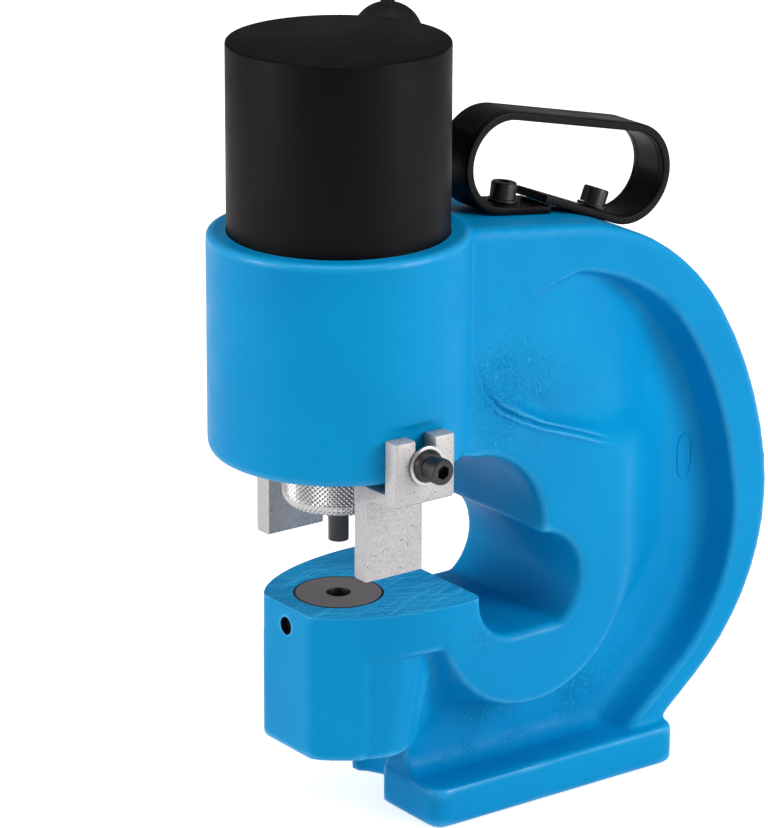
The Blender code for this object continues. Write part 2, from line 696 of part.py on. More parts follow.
def flank_half_width(distance, start, length):
    """Half the width below the ledge: from the nose it sweeps in to the web over this length."""
    share = min(1.0, max(0.0, (distance - start) / length))
    web = WEB_HALF_WIDTH - GAP
    return web + (nose_half_width(distance) - ANVIL_RECESS_DEPTH - web) * math.cos(math.pi / 2 * share) ** 2


def nose_plan(last, tail):
    """The anvil's plan: flat front, rounded sides to the last place, then the tail's corners."""
    steps = 9
    side = [(reach(-ANVIL_FRONT), nose_half_width(-ANVIL_FRONT), ANVIL_FRONT_CORNER)]
    for i in range(1, steps + 1):
        distance = -ANVIL_FRONT + (last + ANVIL_FRONT) * (i / steps)
        side.append((reach(distance), nose_half_width(distance), 0))
    side += [(reach(distance), half, 0) for distance, half in tail]
    return rounded(side + [(x, -y, radius) for x, y, radius in reversed(side)])


def flank_plan(start, length):
    """The plan of nose and flanks below the ledge, where the flanks sweep in over this length."""
    first = -ANVIL_RECESS_START
    steps = 12
    places = [first + (FLANK_END - first) * (i / steps) ** 1.3 for i in range(steps + 1)]
    return nose_plan(first, [(place, flank_half_width(place, start, length)) for place in places])


def anvil():
    """The block under the punch: full width on top, and below a ledge drawn in to the web."""
    heel = ANVIL_HEEL_REACH + ANVIL_HEEL_RADIUS
    block = prism(nose_plan(ANVIL_NOSE_CENTRE, [(heel, BOSS_HALF_WIDTH)]),
                  BOSS_FRONT_HEIGHT, ANVIL_TOP + OVERRUN, "Z")
    soften(block, ANVIL_LEDGE_EDGE, 1, 60.0)
    high = BOSS_FRONT_HEIGHT + BOSS_EDGE
    rings = [[(x, y, ANVIL_BOTTOM) for x, y in flank_plan(0, LOWER_FLANK_LENGTH)],
             [(x, y, high) for x, y in flank_plan(UPPER_FLANK_START, UPPER_FLANK_LENGTH)]]
    return join(block, soften(loft(rings), ANVIL_EDGE, 2, 60.0))


def web_foot():
    """The web between foot and anvil, with its fillet on the foot."""
    front = FOOT_FRONT_REACH + FOOT_EDGE
    steps = 10
    places = [front + (WEB_FOOT_END - front) * (i / steps) ** 1.5 for i in range(steps + 1)]
    fade = 2 * ANVIL_EDGE / (BOSS_FRONT_HEIGHT + BOSS_EDGE - ANVIL_BOTTOM)
    web = WEB_HALF_WIDTH - GAP
    low = [web] * len(places)
    middle = [flank_half_width(place, 0, LOWER_FLANK_LENGTH) - GAP for place in places]
    middle = [half - ANVIL_EDGE * max(0.0, 1 - 2 * i / steps) for i, half in enumerate(middle)]
    above = [flank_half_width(place, UPPER_FLANK_START, UPPER_FLANK_LENGTH) for place in places]
    high = [a + (b - a) * fade for a, b in zip(middle, above)]
    levels = [(FOOT_THICKNESS + WEB_FOOT_FILLET * rise, [half + WEB_FOOT_FILLET * out for half in low])
              for rise, out in WEB_FOOT_FILLET_SHARES]
    levels += [(ANVIL_BOTTOM, middle), (ANVIL_BOTTOM + 2 * ANVIL_EDGE, high)]
    rings = []
    for height, halves in levels:
        side = [(reach(place), half) for place, half in zip(places, halves)]
        rings.append([(x, y, height) for x, y in side] + [(x, -y, height) for x, y in reversed(side)])
    return loft(rings)


def foot():
    front = reach(FOOT_FRONT_REACH)
    rear = reach(FOOT_REAR_REACH)
    plan = rounded([(front, -FOOT_HALF_WIDTH, FOOT_CORNER), (rear, -FOOT_HALF_WIDTH, FOOT_CORNER),
                    (rear, FOOT_HALF_WIDTH, FOOT_CORNER), (front, FOOT_HALF_WIDTH, FOOT_CORNER)])
    return soften(prism(plan, 0.0, FOOT_THICKNESS, "Z"), FOOT_EDGE, 1)


def foot_relief():
    """Round relief in the foot's far front corner, up to the anvil."""
    centre = (reach(FOOT_RELIEF_REACH), FOOT_RELIEF_OFFSET)
    return rod((*centre, -OVERRUN), (*centre, ANVIL_BOTTOM - GAP), FOOT_RELIEF_RADIUS, INNER_STEPS)


def housing():
    low = HOUSING_BOTTOM + HOUSING_BOTTOM_EDGE
    high = HOUSING_TOP - HOUSING_TOP_EDGE
    profile = [(0, HOUSING_TOP)]
    profile += fillet_profile(HOUSING_RADIUS, HOUSING_TOP_EDGE, high, 90.0, 0.0)
    profile += fillet_profile(HOUSING_RADIUS, HOUSING_BOTTOM_EDGE, low, 0.0, -90.0)
    profile += [(0, HOUSING_BOTTOM)]
    return turned(profile)


def housing_bores():
    """The stepped bore for the barrel, guide bush, wiper, ram and nut."""
    nut_room = NUT_RADIUS + NUT_CLEARANCE
    wiper_top = nut_ceiling() + WIPER_HEIGHT + 2 * GAP
    profile = [(0, HOUSING_TOP + OVERRUN), (BARREL_RADIUS + GAP, HOUSING_TOP + OVERRUN),
               (BARREL_RADIUS + GAP, BARREL_SEAT), (BUSH_RADIUS + GAP, BARREL_SEAT),
               (BUSH_RADIUS + GAP, BUSH_BOTTOM - GAP), (RAM_RADIUS + 2 * GAP, BUSH_BOTTOM - GAP),
               (RAM_RADIUS + 2 * GAP, wiper_top), (WIPER_RADIUS + GAP, wiper_top),
               (WIPER_RADIUS + GAP, nut_ceiling()), (nut_room, nut_ceiling()),
               (nut_room, HOUSING_BOTTOM - OVERRUN), (0, HOUSING_BOTTOM - OVERRUN)]
    return turned(profile)


def nut_ceiling():
    """Underside of the housing's inner floor, just above the coupling nut."""
    return NUT_BOTTOM + NUT_HEIGHT + NUT_HEADROOM


def die_pocket():
    floor = DIE_BOTTOM - GAP
    top = ANVIL_TOP + OVERRUN
    profile = [(0, top), (DIE_RADIUS + GAP, top), (DIE_RADIUS + GAP, floor), (SLUG_HOLE_RADIUS, floor),
               (SLUG_HOLE_RADIUS, ANVIL_BOTTOM - OVERRUN), (0, ANVIL_BOTTOM - OVERRUN)]
    return turned(profile, steps=INNER_STEPS)


def front_seat():
    """Place and upward normal of the strap's front foot on the sloping top."""
    up = heading(TOP_ANGLE)
    slope_start = Vector(frame_outline()[0])
    along = Vector((up.y, -up.x))
    run = (reach(LOOP_FRONT_REACH) - slope_start.x) / along.x
    return slope_start + along * run, up


def rear_seat():
    """Place and upward normal of the milled seat for the strap's rear foot."""
    up = heading(REAR_SEAT_ANGLE)
    return frame_arcs()[0] + up * (TOP_RADIUS - REAR_SEAT_DEPTH), up


def upright(point, y=0.0):
    """An (x, z) point or direction as a place in space."""
    return Vector((point[0], y, point[1]))


def handle_screws():
    """Seat place under the strap and upward normal of the front and the rear screw."""
    front, front_up = front_seat()
    rear, rear_up = rear_seat()
    along = Vector((front_up.y, -front_up.x))
    return (("front", upright(front + along * HANDLE_SCREW_SETBACK), upright(front_up)),
            ("rear", upright(rear), upright(rear_up)))


def rear_seat_cut():
    """Cutter that mills the flat seat for the strap's rear foot."""
    place, up = rear_seat()
    along = Vector((up.y, -up.x)) * REAR_SEAT_HALF_LENGTH
    outline = [place - along, place + along, place + along + up * OVERRUN, place - along + up * OVERRUN]
    width = FRAME_HALF_WIDTH + OVERRUN
    return prism([tuple(point) for point in outline], -width, width)


def make_frame_casting():
    """C-frame, housing, anvil and foot: one casting, then its machined cuts."""
    line = frame_outline()
    toe = reach(FOOT_FRONT_REACH + FOOT_EDGE)
    bottom = ANVIL_BOTTOM + ANVIL_EDGE
    start = reach(-ANVIL_RECESS_START)
    outline = line + [(toe, line[-1][1]), (toe, bottom), (start, bottom), (start, line[0][1])]
    body = soften(prism(outline, -FRAME_HALF_WIDTH, FRAME_HALF_WIDTH), FRAME_EDGE)
    for side in (-1, 1):
        cut(body, pocket(side))
    for piece in (dish(), boss(), anvil(), foot(), web_foot()):
        join(body, piece)
    cut(body, foot_relief())
    cut(body, throat())
    for side in (-1, 1):
        cut(body, throat_mouth(side))
    join(body, housing())
    cut(body, housing_bores())
    cut(body, die_pocket())
    cut_set_screw_hole(body)
    cut_stripper_seats(body)
    cut(body, rear_seat_cut())
    for _, seat, up in handle_screws():
        cut(body, rod(seat + up * OVERRUN, seat - up * (HANDLE_SCREW_DEPTH + OVERRUN), SCREW_RADIUS + GAP))
    return finish(body, "frame_casting", PAINT_BLUE)


def cut_set_screw_hole(body):
    start = (reach(-ANVIL_FRONT - OVERRUN), 0, SET_SCREW_HEIGHT)
    end = (reach(-DIE_RADIUS + DIE_GROOVE_DEPTH), 0, SET_SCREW_HEIGHT)
    cut(body, rod(start, end, SET_SCREW_RADIUS + GAP))


def cut_stripper_seats(body):
    """A milled flat and a tapped hole on each side of the housing."""
    half = STRIPPER_HALF_WIDTH + GAP
    for side in (-1, 1):
        low, high = sorted((side * STRIPPER_FLAT_FACE, side * (HOUSING_RADIUS + OVERRUN)))
        plan = [(reach(-half), low), (reach(half), low), (reach(half), high), (reach(-half), high)]
        cut(body, prism(plan, HOUSING_BOTTOM - OVERRUN, HOUSING_BOTTOM + STRIPPER_FLAT_HEIGHT, "Z"))
        start = (PUNCH_X, side * (STRIPPER_FLAT_FACE + OVERRUN), CLAMP_HEIGHT)
        end = (PUNCH_X, side * (STRIPPER_FLAT_FACE - CLAMP_THREAD_DEPTH - OVERRUN), CLAMP_HEIGHT)
        cut(body, rod(start, end, SCREW_RADIUS + GAP))


def port_way(distance, height):
    """A point in the inlet's vertical plane, this far from the punch's axis."""
    angle = math.radians(PORT_ANGLE)
    return (PUNCH_X + distance * math.cos(angle), distance * math.sin(angle), height)


def make_cylinder_barrel():
    """The black steel cup that is screwed into the housing."""
    bottom = BARREL_SEAT + GAP
    profile = [(0, BARREL_TOP)]
    profile += fillet_profile(BARREL_RADIUS, BARREL_EDGE, BARREL_TOP - BARREL_EDGE, 90.0, 0.0, 2)
    profile += [(BARREL_RADIUS, bottom), (BORE_RADIUS, bottom), (BORE_RADIUS, CHAMBER_TOP), (0, CHAMBER_TOP)]
    body = turned(profile)
    cut(body, rod(port_way(BORE_RADIUS - OVERRUN, PORT_HEIGHT),
                  port_way(BARREL_RADIUS, PORT_HEIGHT), PORT_RADIUS, 12))
    cut(body, rod(port_way(BARREL_RADIUS - PORT_THREAD_DEPTH - GAP, PORT_HEIGHT),
                  port_way(BARREL_RADIUS + OVERRUN, PORT_HEIGHT), PORT_THREAD_RADIUS + GAP))
    return finish(body, "cylinder_barrel", BLACK_SATIN)


def groove(bottom):
    """Points of a ring groove in the piston's wall, from above."""
    outer = BORE_RADIUS - GAP
    top = bottom + SEAL_GROOVE_HEIGHT
    return [(outer, top), (outer - GROOVE_DEPTH, top), (outer - GROOVE_DEPTH, bottom), (outer, bottom)]


def crown_seat():
    """Underside of the piston screw's head."""
    return PISTON_BOTTOM + SPIGOT_HEIGHT + 2 * GAP + PISTON_HEAD_WALL


def make_piston(parent):
    crown = PISTON_TOP + PISTON_CROWN_HEIGHT
    head_floor = crown_seat() - GAP
    outer = BORE_RADIUS - GAP
    profile = [(CROWN_SCREW_HEAD + GAP, crown), (PISTON_CROWN_RADIUS, crown),
               (PISTON_CROWN_RADIUS, PISTON_TOP), (outer, PISTON_TOP)]
    profile += groove(PISTON_BOTTOM + SEAL_GROOVE_RISE)
    profile += groove(PISTON_BOTTOM + WEAR_GROOVE_RISE)
    profile += [(outer, PISTON_BOTTOM), (SPIGOT_RADIUS + GAP, PISTON_BOTTOM),
                (SPIGOT_RADIUS + GAP, PISTON_BOTTOM + SPIGOT_HEIGHT + GAP),
                (CROWN_SCREW_RADIUS + GAP, PISTON_BOTTOM + SPIGOT_HEIGHT + GAP),
                (CROWN_SCREW_RADIUS + GAP, head_floor), (CROWN_SCREW_HEAD + GAP, head_floor)]
    return finish(turned(profile, steps=INNER_STEPS, hollow=True), "piston", GROUND_STEEL, parent)


def make_piston_ring(name, rise, look, parent):
    """A seal or wear ring that fills its groove with a clearance all round."""
    bottom = PISTON_BOTTOM + rise + GAP
    top = PISTON_BOTTOM + rise + SEAL_GROOVE_HEIGHT - GAP
    outer = BORE_RADIUS - GAP
    inner = outer - GROOVE_DEPTH + GAP
    lip = (outer - inner) / 4
    profile = [(inner, top), (outer - lip, top), (outer, top - lip), (outer, bottom), (inner, bottom)]
    return finish(turned(profile, steps=INNER_STEPS, hollow=True), name, look, parent)


def make_piston_screw(parent):
    """Socket screw that clamps the piston on the ram."""
    seat = crown_seat()
    top = seat + CROWN_SCREW_HEAD_HEIGHT
    low = seat - CROWN_SCREW_DEPTH
    socket = CROWN_SCREW_HEAD / 2
    profile = [(0, top), (CROWN_SCREW_HEAD, top), (CROWN_SCREW_HEAD, seat), (CROWN_SCREW_RADIUS, seat),
               (CROWN_SCREW_RADIUS, low), (0, low)]
    body = turned(profile, steps=SMALL_STEPS)
    cut(body, rod((PUNCH_X, 0, top - socket), (PUNCH_X, 0, top + OVERRUN), socket, 6))
    return finish(body, "piston_screw", BLACK_OXIDE, parent)


def make_ram_rod(parent):
    shoulder = PISTON_BOTTOM - GAP
    tip = PISTON_BOTTOM + SPIGOT_HEIGHT
    hole_floor = crown_seat() - CROWN_SCREW_DEPTH - OVERRUN
    hole = CROWN_SCREW_RADIUS + GAP
    profile = [(hole, tip), (SPIGOT_RADIUS, tip), (SPIGOT_RADIUS, shoulder), (RAM_RADIUS, shoulder),
               (RAM_RADIUS, RAM_BOTTOM), (0, RAM_BOTTOM)]
    profile = [(0, hole_floor), (hole, hole_floor)] + profile
    return finish(turned(profile, steps=INNER_STEPS), "ram_rod", BRIGHT_STEEL, parent)


def make_bush():
    inner = RAM_RADIUS + GAP
    top = BARREL_SEAT - GAP
    profile = [(inner, top), (BUSH_RADIUS, top), (BUSH_RADIUS, BUSH_BOTTOM), (inner, BUSH_BOTTOM)]
    return finish(turned(profile, steps=INNER_STEPS, hollow=True), "guide_bush", BRONZE)


def make_wiper():
    inner = RAM_RADIUS + GAP
    bottom = nut_ceiling() + GAP
    top = bottom + WIPER_HEIGHT
    lip = WIPER_HEIGHT / 3
    profile = [(inner + lip, top), (WIPER_RADIUS, top), (WIPER_RADIUS, bottom), (inner, bottom),
               (inner, top - lip)]
    return finish(turned(profile, steps=INNER_STEPS, hollow=True), "rod_wiper", NITRILE)


def helix_points(centre, bottom, top, mean, wire, turns, end_gap):
    """A compression spring's wire line: closed end turns and an even pitch between."""
    closed = 2 * wire + end_gap
    active = top - bottom - 2 * wire - 2 * closed
    pitch = active / (turns - 2)
    total = turns * SPRING_POINTS_PER_TURN
    points = []
    for i in range(total + 1):
        turn = i / SPRING_POINTS_PER_TURN
        rise = closed * min(turn, 1) + pitch * min(max(turn - 1, 0), turns - 2)
        rise += closed * max(turn - turns + 1, 0)
        angle = 2 * math.pi * turn
        points.append((centre[0] + mean * math.cos(angle), centre[1] + mean * math.sin(angle),
                       bottom + wire + rise))
    return points


def make_spring(name, **sizes):
    """One unbroken tube along the wire's line; prints the least gap between its turns."""
    points = helix_points(**sizes)
    curve = bpy.data.curves.new(name, "CURVE")
    curve.dimensions = "3D"
    curve.bevel_depth = sizes["wire"]
    curve.bevel_resolution = 1
    curve.use_fill_caps = True
    spline = curve.splines.new("POLY")
    spline.points.add(len(points) - 1)
    for target, point in zip(spline.points, points):
        target.co = (*point, 1.0)
    far = SPRING_POINTS_PER_TURN
    least = min((Vector(a) - Vector(b)).length for i, a in enumerate(points)
                for b in points[i + far // 2:]) - 2 * sizes["wire"]
    print(name, "least gap to itself, mm:", round(least * 1000, 2))
    thing = bpy.data.objects.new(name, curve)
    bpy.context.scene.collection.objects.link(thing)
    return finish(thing, name, SPRING_STEEL)


def make_coupling_nut(parent):
    top = NUT_BOTTOM + NUT_HEIGHT
    edge = NUT_EDGE
    head = PUNCH_HEAD_RADIUS + GAP
    thread_floor = RAM_BOTTOM - GAP
    seat = NUT_BOTTOM + NUT_FLOOR
    profile = [(RAM_RADIUS + GAP, top), (NUT_RADIUS - edge, top), (NUT_RADIUS, top - edge)]
    profile += fillet_profile(NUT_RADIUS, NUT_CORNER, NUT_BOTTOM + NUT_CORNER, 0.0, -90.0, 4)
    profile += [(NUT_HOLE_RADIUS, NUT_BOTTOM), (NUT_HOLE_RADIUS, seat), (head, seat + head - NUT_HOLE_RADIUS),
                (head, thread_floor), (RAM_RADIUS + GAP, thread_floor)]
    return finish(turned(profile, steps=INNER_STEPS, hollow=True), "coupling_nut", BRIGHT_STEEL, parent)


def make_punch(parent):
    """The punch: a wide head held by the nut and a plain round shank."""
    top = RAM_BOTTOM - 2 * GAP
    head_low = NUT_BOTTOM + NUT_FLOOR + PUNCH_HEAD_RADIUS - NUT_HOLE_RADIUS + 2 * GAP
    neck = NUT_HOLE_RADIUS - GAP
    neck_high = head_low - (PUNCH_HEAD_RADIUS - neck)
    taper_low = neck_high - PUNCH_TAPER_HEIGHT
    profile = [(0, top), (PUNCH_HEAD_RADIUS, top), (PUNCH_HEAD_RADIUS, head_low), (neck, neck_high),
               (PUNCH_RADIUS, taper_low), (PUNCH_RADIUS, PUNCH_TIP), (0, PUNCH_TIP)]
    return finish(turned(profile, steps=SMALL_STEPS), "punch", BLACK_OXIDE, parent)


def make_die():
    """The die button: a land on top, a wider slug relief below and a groove for the set screw."""
    chamfer = DIE_EDGE
    mid = SET_SCREW_HEIGHT
    half = DIE_GROOVE_HALF_HEIGHT
    profile = [(DIE_HOLE_RADIUS, ANVIL_TOP), (DIE_RADIUS - chamfer, ANVIL_TOP),
               (DIE_RADIUS, ANVIL_TOP - chamfer), (DIE_RADIUS, mid + half),
               (DIE_RADIUS - DIE_GROOVE_DEPTH, mid), (DIE_RADIUS, mid - half),
               (DIE_RADIUS, DIE_BOTTOM), (DIE_RELIEF_RADIUS, DIE_BOTTOM),
               (DIE_RELIEF_RADIUS, ANVIL_TOP - DIE_LAND), (DIE_HOLE_RADIUS, ANVIL_TOP - DIE_LAND)]
    return finish(turned(profile, steps=INNER_STEPS, hollow=True), "die", DIE_STEEL)


def make_die_set_screw():
    """Socket set screw whose cone point lies in the die's groove."""
    outer = reach(-ANVIL_FRONT + SET_SCREW_SUNK)
    tip = reach(-DIE_RADIUS + DIE_GROOVE_DEPTH - 2 * GAP) - outer
    shoulder = tip - SET_SCREW_RADIUS + DIE_EDGE
    profile = [(0, 0), (SET_SCREW_RADIUS, 0), (SET_SCREW_RADIUS, shoulder), (DIE_EDGE, tip), (0, tip)]
    place = Vector((outer, 0, SET_SCREW_HEIGHT))
    along = Vector((1, 0, 0))
    body = turned(profile, place, along, SMALL_STEPS)
    socket_floor = place + along * SET_SCREW_SOCKET_DEPTH
    cut(body, rod(place - along * OVERRUN, socket_floor, SET_SCREW_SOCKET_RADIUS, 6))
    return finish(body, "die_set_screw", BLACK_OXIDE)


def make_stripper(name, side, parent):
    """A cast step: slotted plate outside the housing, shelf below it and leg beside the punch."""
    outer = STRIPPER_FACE + STRIPPER_PLATE_THICKNESS
    leg_outer = STRIPPER_LEG_FACE + STRIPPER_LEG_THICKNESS
    step = STRIPPER_STEP_RADIUS
    corners = [(STRIPPER_FACE, STRIPPER_TOP, 0), (outer, STRIPPER_TOP, 0),
               (outer, STRIPPER_PLATE_BOTTOM, step / 2),
               (leg_outer, STRIPPER_PLATE_BOTTOM - step / 2, step),
               (leg_outer, STRIPPER_LEG_BOTTOM, 0), (STRIPPER_LEG_FACE, STRIPPER_LEG_BOTTOM, 0),
               (STRIPPER_LEG_FACE, STRIPPER_SHELF_TOP, 0), (STRIPPER_FACE, STRIPPER_SHELF_TOP, 0)]
    outline = [(side * y, z) for y, z in rounded(corners, 3)]
    plate = prism(outline, reach(-STRIPPER_HALF_WIDTH), reach(STRIPPER_HALF_WIDTH), "X")
    soften(plate, STRIPPER_EDGE, 2, 60.0)
    trim = STRIPPER_HALF_WIDTH - STRIPPER_LEG_HALF_WIDTH
    for end in (-1, 1):
        low, high = sorted((end * STRIPPER_LEG_HALF_WIDTH, end * (STRIPPER_LEG_HALF_WIDTH + trim + OVERRUN)))
        box = [(reach(low), STRIPPER_LEG_BOTTOM - OVERRUN), (reach(high), STRIPPER_LEG_BOTTOM - OVERRUN),
               (reach(high), STRIPPER_PLATE_BOTTOM - step), (reach(low), STRIPPER_PLATE_BOTTOM - step)]
        cut(plate, prism(box, -HOUSING_RADIUS - OVERRUN, HOUSING_RADIUS + OVERRUN))
    half = STRIPPER_SLOT_HALF_WIDTH
    top = STRIPPER_TOP + OVERRUN
    slot = arc((PUNCH_X, STRIPPER_SLOT_BOTTOM + half), half, -180.0, 0.0, 8)
    slot += [(reach(half), top), (reach(-half), top)]
    near, far = sorted((side * (STRIPPER_FACE - OVERRUN), side * (outer + OVERRUN)))
    cut(plate, prism(slot, near, far))
    return finish(plate, name, CAST_STEEL, parent)


def ring(place, up, radius, hole, thickness):
    """A washer lying on the place."""
    profile = [(hole, thickness), (radius, thickness), (radius, 0), (hole, 0)]
    return turned(profile, place, up, SMALL_STEPS, True)


def socket_screw(seat, up, shank):
    """A socket-head screw: head on the seat point, shank away from the up direction."""
    seat = Vector(seat)
    up = Vector(up).normalized()
    edge = SCREW_HEAD_EDGE
    head = SCREW_HEAD_HEIGHT
    profile = [(0, head), (SCREW_HEAD_RADIUS - edge, head), (SCREW_HEAD_RADIUS, head - edge),
               (SCREW_HEAD_RADIUS, 0), (SCREW_RADIUS, 0), (SCREW_RADIUS, edge - shank),
               (SCREW_RADIUS - edge, -shank), (0, -shank)]
    body = turned(profile, seat, up, SMALL_STEPS)
    top = seat + up * head
    return cut(body, rod(top - up * SOCKET_DEPTH, top + up * OVERRUN, SOCKET_RADIUS, 6))


def make_clamp(name, side):
    """Washer, cone spacer and screw that hold one stripper to the housing."""
    washer_start = STRIPPER_FACE + STRIPPER_PLATE_THICKNESS + GAP
    spacer_start = washer_start + CLAMP_WASHER_THICKNESS + GAP
    head_start = spacer_start + CLAMP_SPACER_THICKNESS + GAP
    shank = head_start - STRIPPER_FLAT_FACE + CLAMP_THREAD_DEPTH
    hole = SCREW_RADIUS + GAP
    way = Vector((0, side, 0))
    axis = Vector((PUNCH_X, 0, CLAMP_HEIGHT))
    washer = ring(axis + way * washer_start, way, CLAMP_WASHER_RADIUS, hole, CLAMP_WASHER_THICKNESS)
    cone = [(hole, CLAMP_SPACER_THICKNESS), (CLAMP_SPACER_TIP_RADIUS, CLAMP_SPACER_THICKNESS),
            (CLAMP_SPACER_RADIUS, 0), (hole, 0)]
    spacer = turned(cone, axis + way * spacer_start, way, SMALL_STEPS, True)
    finish(washer, "stripper_washer_" + name, ZINC)
    finish(spacer, "stripper_spacer_" + name, BLACK_OXIDE)
    finish(socket_screw(axis + way * head_start, way, shank), "stripper_screw_" + name, BLACK_OXIDE)


def strap_line(radius):
    """The strap at this bend radius in (x, z): front foot, both bends, then the rear foot."""
    front, front_up = front_seat()
    rear, rear_up = rear_seat()
    front_centre = front + front_up * (LOOP_RADIUS + GAP)
    rear_along = Vector((rear_up.y, -rear_up.x))
    rear_centre = rear + rear_up * (LOOP_RADIUS + GAP) + rear_along * HANDLE_SCREW_SETBACK
    across = (rear_centre - front_centre).angle_signed(Vector((1, 0)))
    tilt = math.degrees(-abs(across))
    front_along = Vector((front_up.y, -front_up.x))
    line = [front_centre - front_up * radius + front_along * STRAP_FRONT_END]
    line += arc(front_centre, radius, TOP_ANGLE - 180.0, tilt - 270.0, STRAP_BEND_STEPS)
    line += arc(rear_centre, radius, tilt + 90.0, REAR_SEAT_ANGLE - 180.0, STRAP_BEND_STEPS)
    line.append(rear_centre - rear_up * radius - rear_along * STRAP_REAR_END)
    return [tuple(point) for point in line]


def make_handle_strap():
    outline = strap_line(LOOP_RADIUS) + strap_line(LOOP_RADIUS - STRAP_THICKNESS)[::-1]
    body = soften(prism(outline, -STRAP_HALF_WIDTH, STRAP_HALF_WIDTH), STRAP_EDGE, 1, 60.0)
    for _, seat, up in handle_screws():
        cut(body, rod(seat - up * OVERRUN, seat + up * (STRAP_THICKNESS + OVERRUN), SCREW_RADIUS + GAP))
    return finish(body, "handle_strap", BLACK_SATIN)


def make_handle_fixing(name, place, up):
    """Washer and screw that hold one foot of the strap."""
    seat = place + up * (STRAP_THICKNESS + 2 * GAP)
    washer = ring(seat, up, HANDLE_WASHER_RADIUS, SCREW_RADIUS + GAP, HANDLE_WASHER_THICKNESS)
    shank = HANDLE_SCREW_DEPTH + STRAP_THICKNESS + HANDLE_WASHER_THICKNESS
    screw = socket_screw(seat + up * (HANDLE_WASHER_THICKNESS + GAP), up, shank)
    finish(washer, "handle_washer_" + name, BLACK_OXIDE)
    finish(screw, "handle_screw_" + name, BLACK_OXIDE)


def make_inlet_elbow():
    """Street elbow: threaded stub in the barrel, hexagon, bend and upright socket."""
    start = BARREL_RADIUS - PORT_THREAD_DEPTH
    face = BARREL_RADIUS + GAP
    neck = face + ELBOW_HEX_WIDTH / 2
    corner = Vector(port_way(INLET_REACH, PORT_HEIGHT))
    top = corner + Vector((0, 0, ELBOW_RISE))
    stub = [(0, start), (PORT_THREAD_RADIUS, start), (PORT_THREAD_RADIUS, neck), (0, neck)]
    outward = Vector(port_way(1, 0)) - Vector(port_way(0, 0))
    body = turned(stub, port_way(0, PORT_HEIGHT), outward, SMALL_STEPS)
    hexagon_end = port_way(face + ELBOW_HEX_WIDTH, PORT_HEIGHT)
    join(body, rod(port_way(face, PORT_HEIGHT), hexagon_end, ELBOW_HEX_RADIUS, 6))
    join(body, bend_tube(port_way(neck, PORT_HEIGHT), corner, top, ELBOW_RADIUS, SMALL_STEPS))
    down = Vector((0, 0, OVERRUN))
    cut(body, bend_tube(port_way(start - OVERRUN, PORT_HEIGHT), corner, top + down, ELBOW_BORE_RADIUS, 12))
    return finish(body, "inlet_elbow", BLACK_OXIDE)


def bend_tube(start, corner, end, radius, sides):
    """A round bar that turns a corner on a quarter bend of its own radius."""
    start, corner, end = Vector(start), Vector(corner), Vector(end)
    back = (start - corner).normalized()
    ahead = (end - corner).normalized()
    centre = corner + (back + ahead) * radius
    line = [start]
    for k in range(5):
        turn = math.pi / 2 * k / 4
        line.append(centre - ahead * radius * math.cos(turn) - back * radius * math.sin(turn))
    line.append(end)
    normal = back.cross(ahead).normalized()
    rings = []
    for i, point in enumerate(line):
        along = (line[min(i + 1, len(line) - 1)] - line[max(i - 1, 0)]).normalized()
        if i in (1, 5):
            along = -back if i == 1 else ahead
        side = normal.cross(along)
        angles = [2 * math.pi * k / sides for k in range(sides)]
        rings.append([point + (normal * math.cos(a) + side * math.sin(a)) * radius for a in angles])
    return loft(rings)


def make_coupler_body():
    """Coupler half with a hexagon, a round nose and a stepped bore for the poppet."""
    x, y, _ = INLET_PLACE
    body = rod((x, y, COUPLER_BOTTOM), (x, y, NOSE_BOTTOM), COUPLER_HEX_RADIUS, 6)
    overlap = COUPLER_HEX_HEIGHT / 2
    join(body, rod((x, y, NOSE_BOTTOM - overlap), (x, y, NOSE_TOP), COUPLER_NOSE_RADIUS))
    floor = COUPLER_BOTTOM + COUPLER_FLOOR
    lip = NOSE_TOP - COUPLER_LIP
    bore = [(0, NOSE_TOP + OVERRUN), (COUPLER_MOUTH_RADIUS, NOSE_TOP + OVERRUN), (COUPLER_MOUTH_RADIUS, lip),
            (COUPLER_BORE_RADIUS, lip), (COUPLER_BORE_RADIUS, floor), (PORT_RADIUS, floor),
            (PORT_RADIUS, COUPLER_BOTTOM - OVERRUN), (0, COUPLER_BOTTOM - OVERRUN)]
    cut(body, turned(bore, INLET_PLACE, steps=SMALL_STEPS))
    return finish(body, "coupler_body", ZINC)


def poppet_base():
    """Underside of the poppet's head at rest."""
    return NOSE_TOP - COUPLER_LIP - GAP - POPPET_HEAD_HEIGHT


def make_coupler_poppet(parent):
    base = poppet_base()
    head = base + POPPET_HEAD_HEIGHT
    low = base - POPPET_STEM_LENGTH
    profile = [(0, NOSE_TOP - GAP), (POPPET_NOSE_RADIUS, NOSE_TOP - GAP), (POPPET_NOSE_RADIUS, head),
               (POPPET_HEAD_RADIUS, head), (POPPET_HEAD_RADIUS, base), (POPPET_STEM_RADIUS, base),
               (POPPET_STEM_RADIUS, low), (0, low)]
    return finish(turned(profile, INLET_PLACE, steps=SMALL_STEPS), "coupler_poppet", BRIGHT_STEEL, parent)


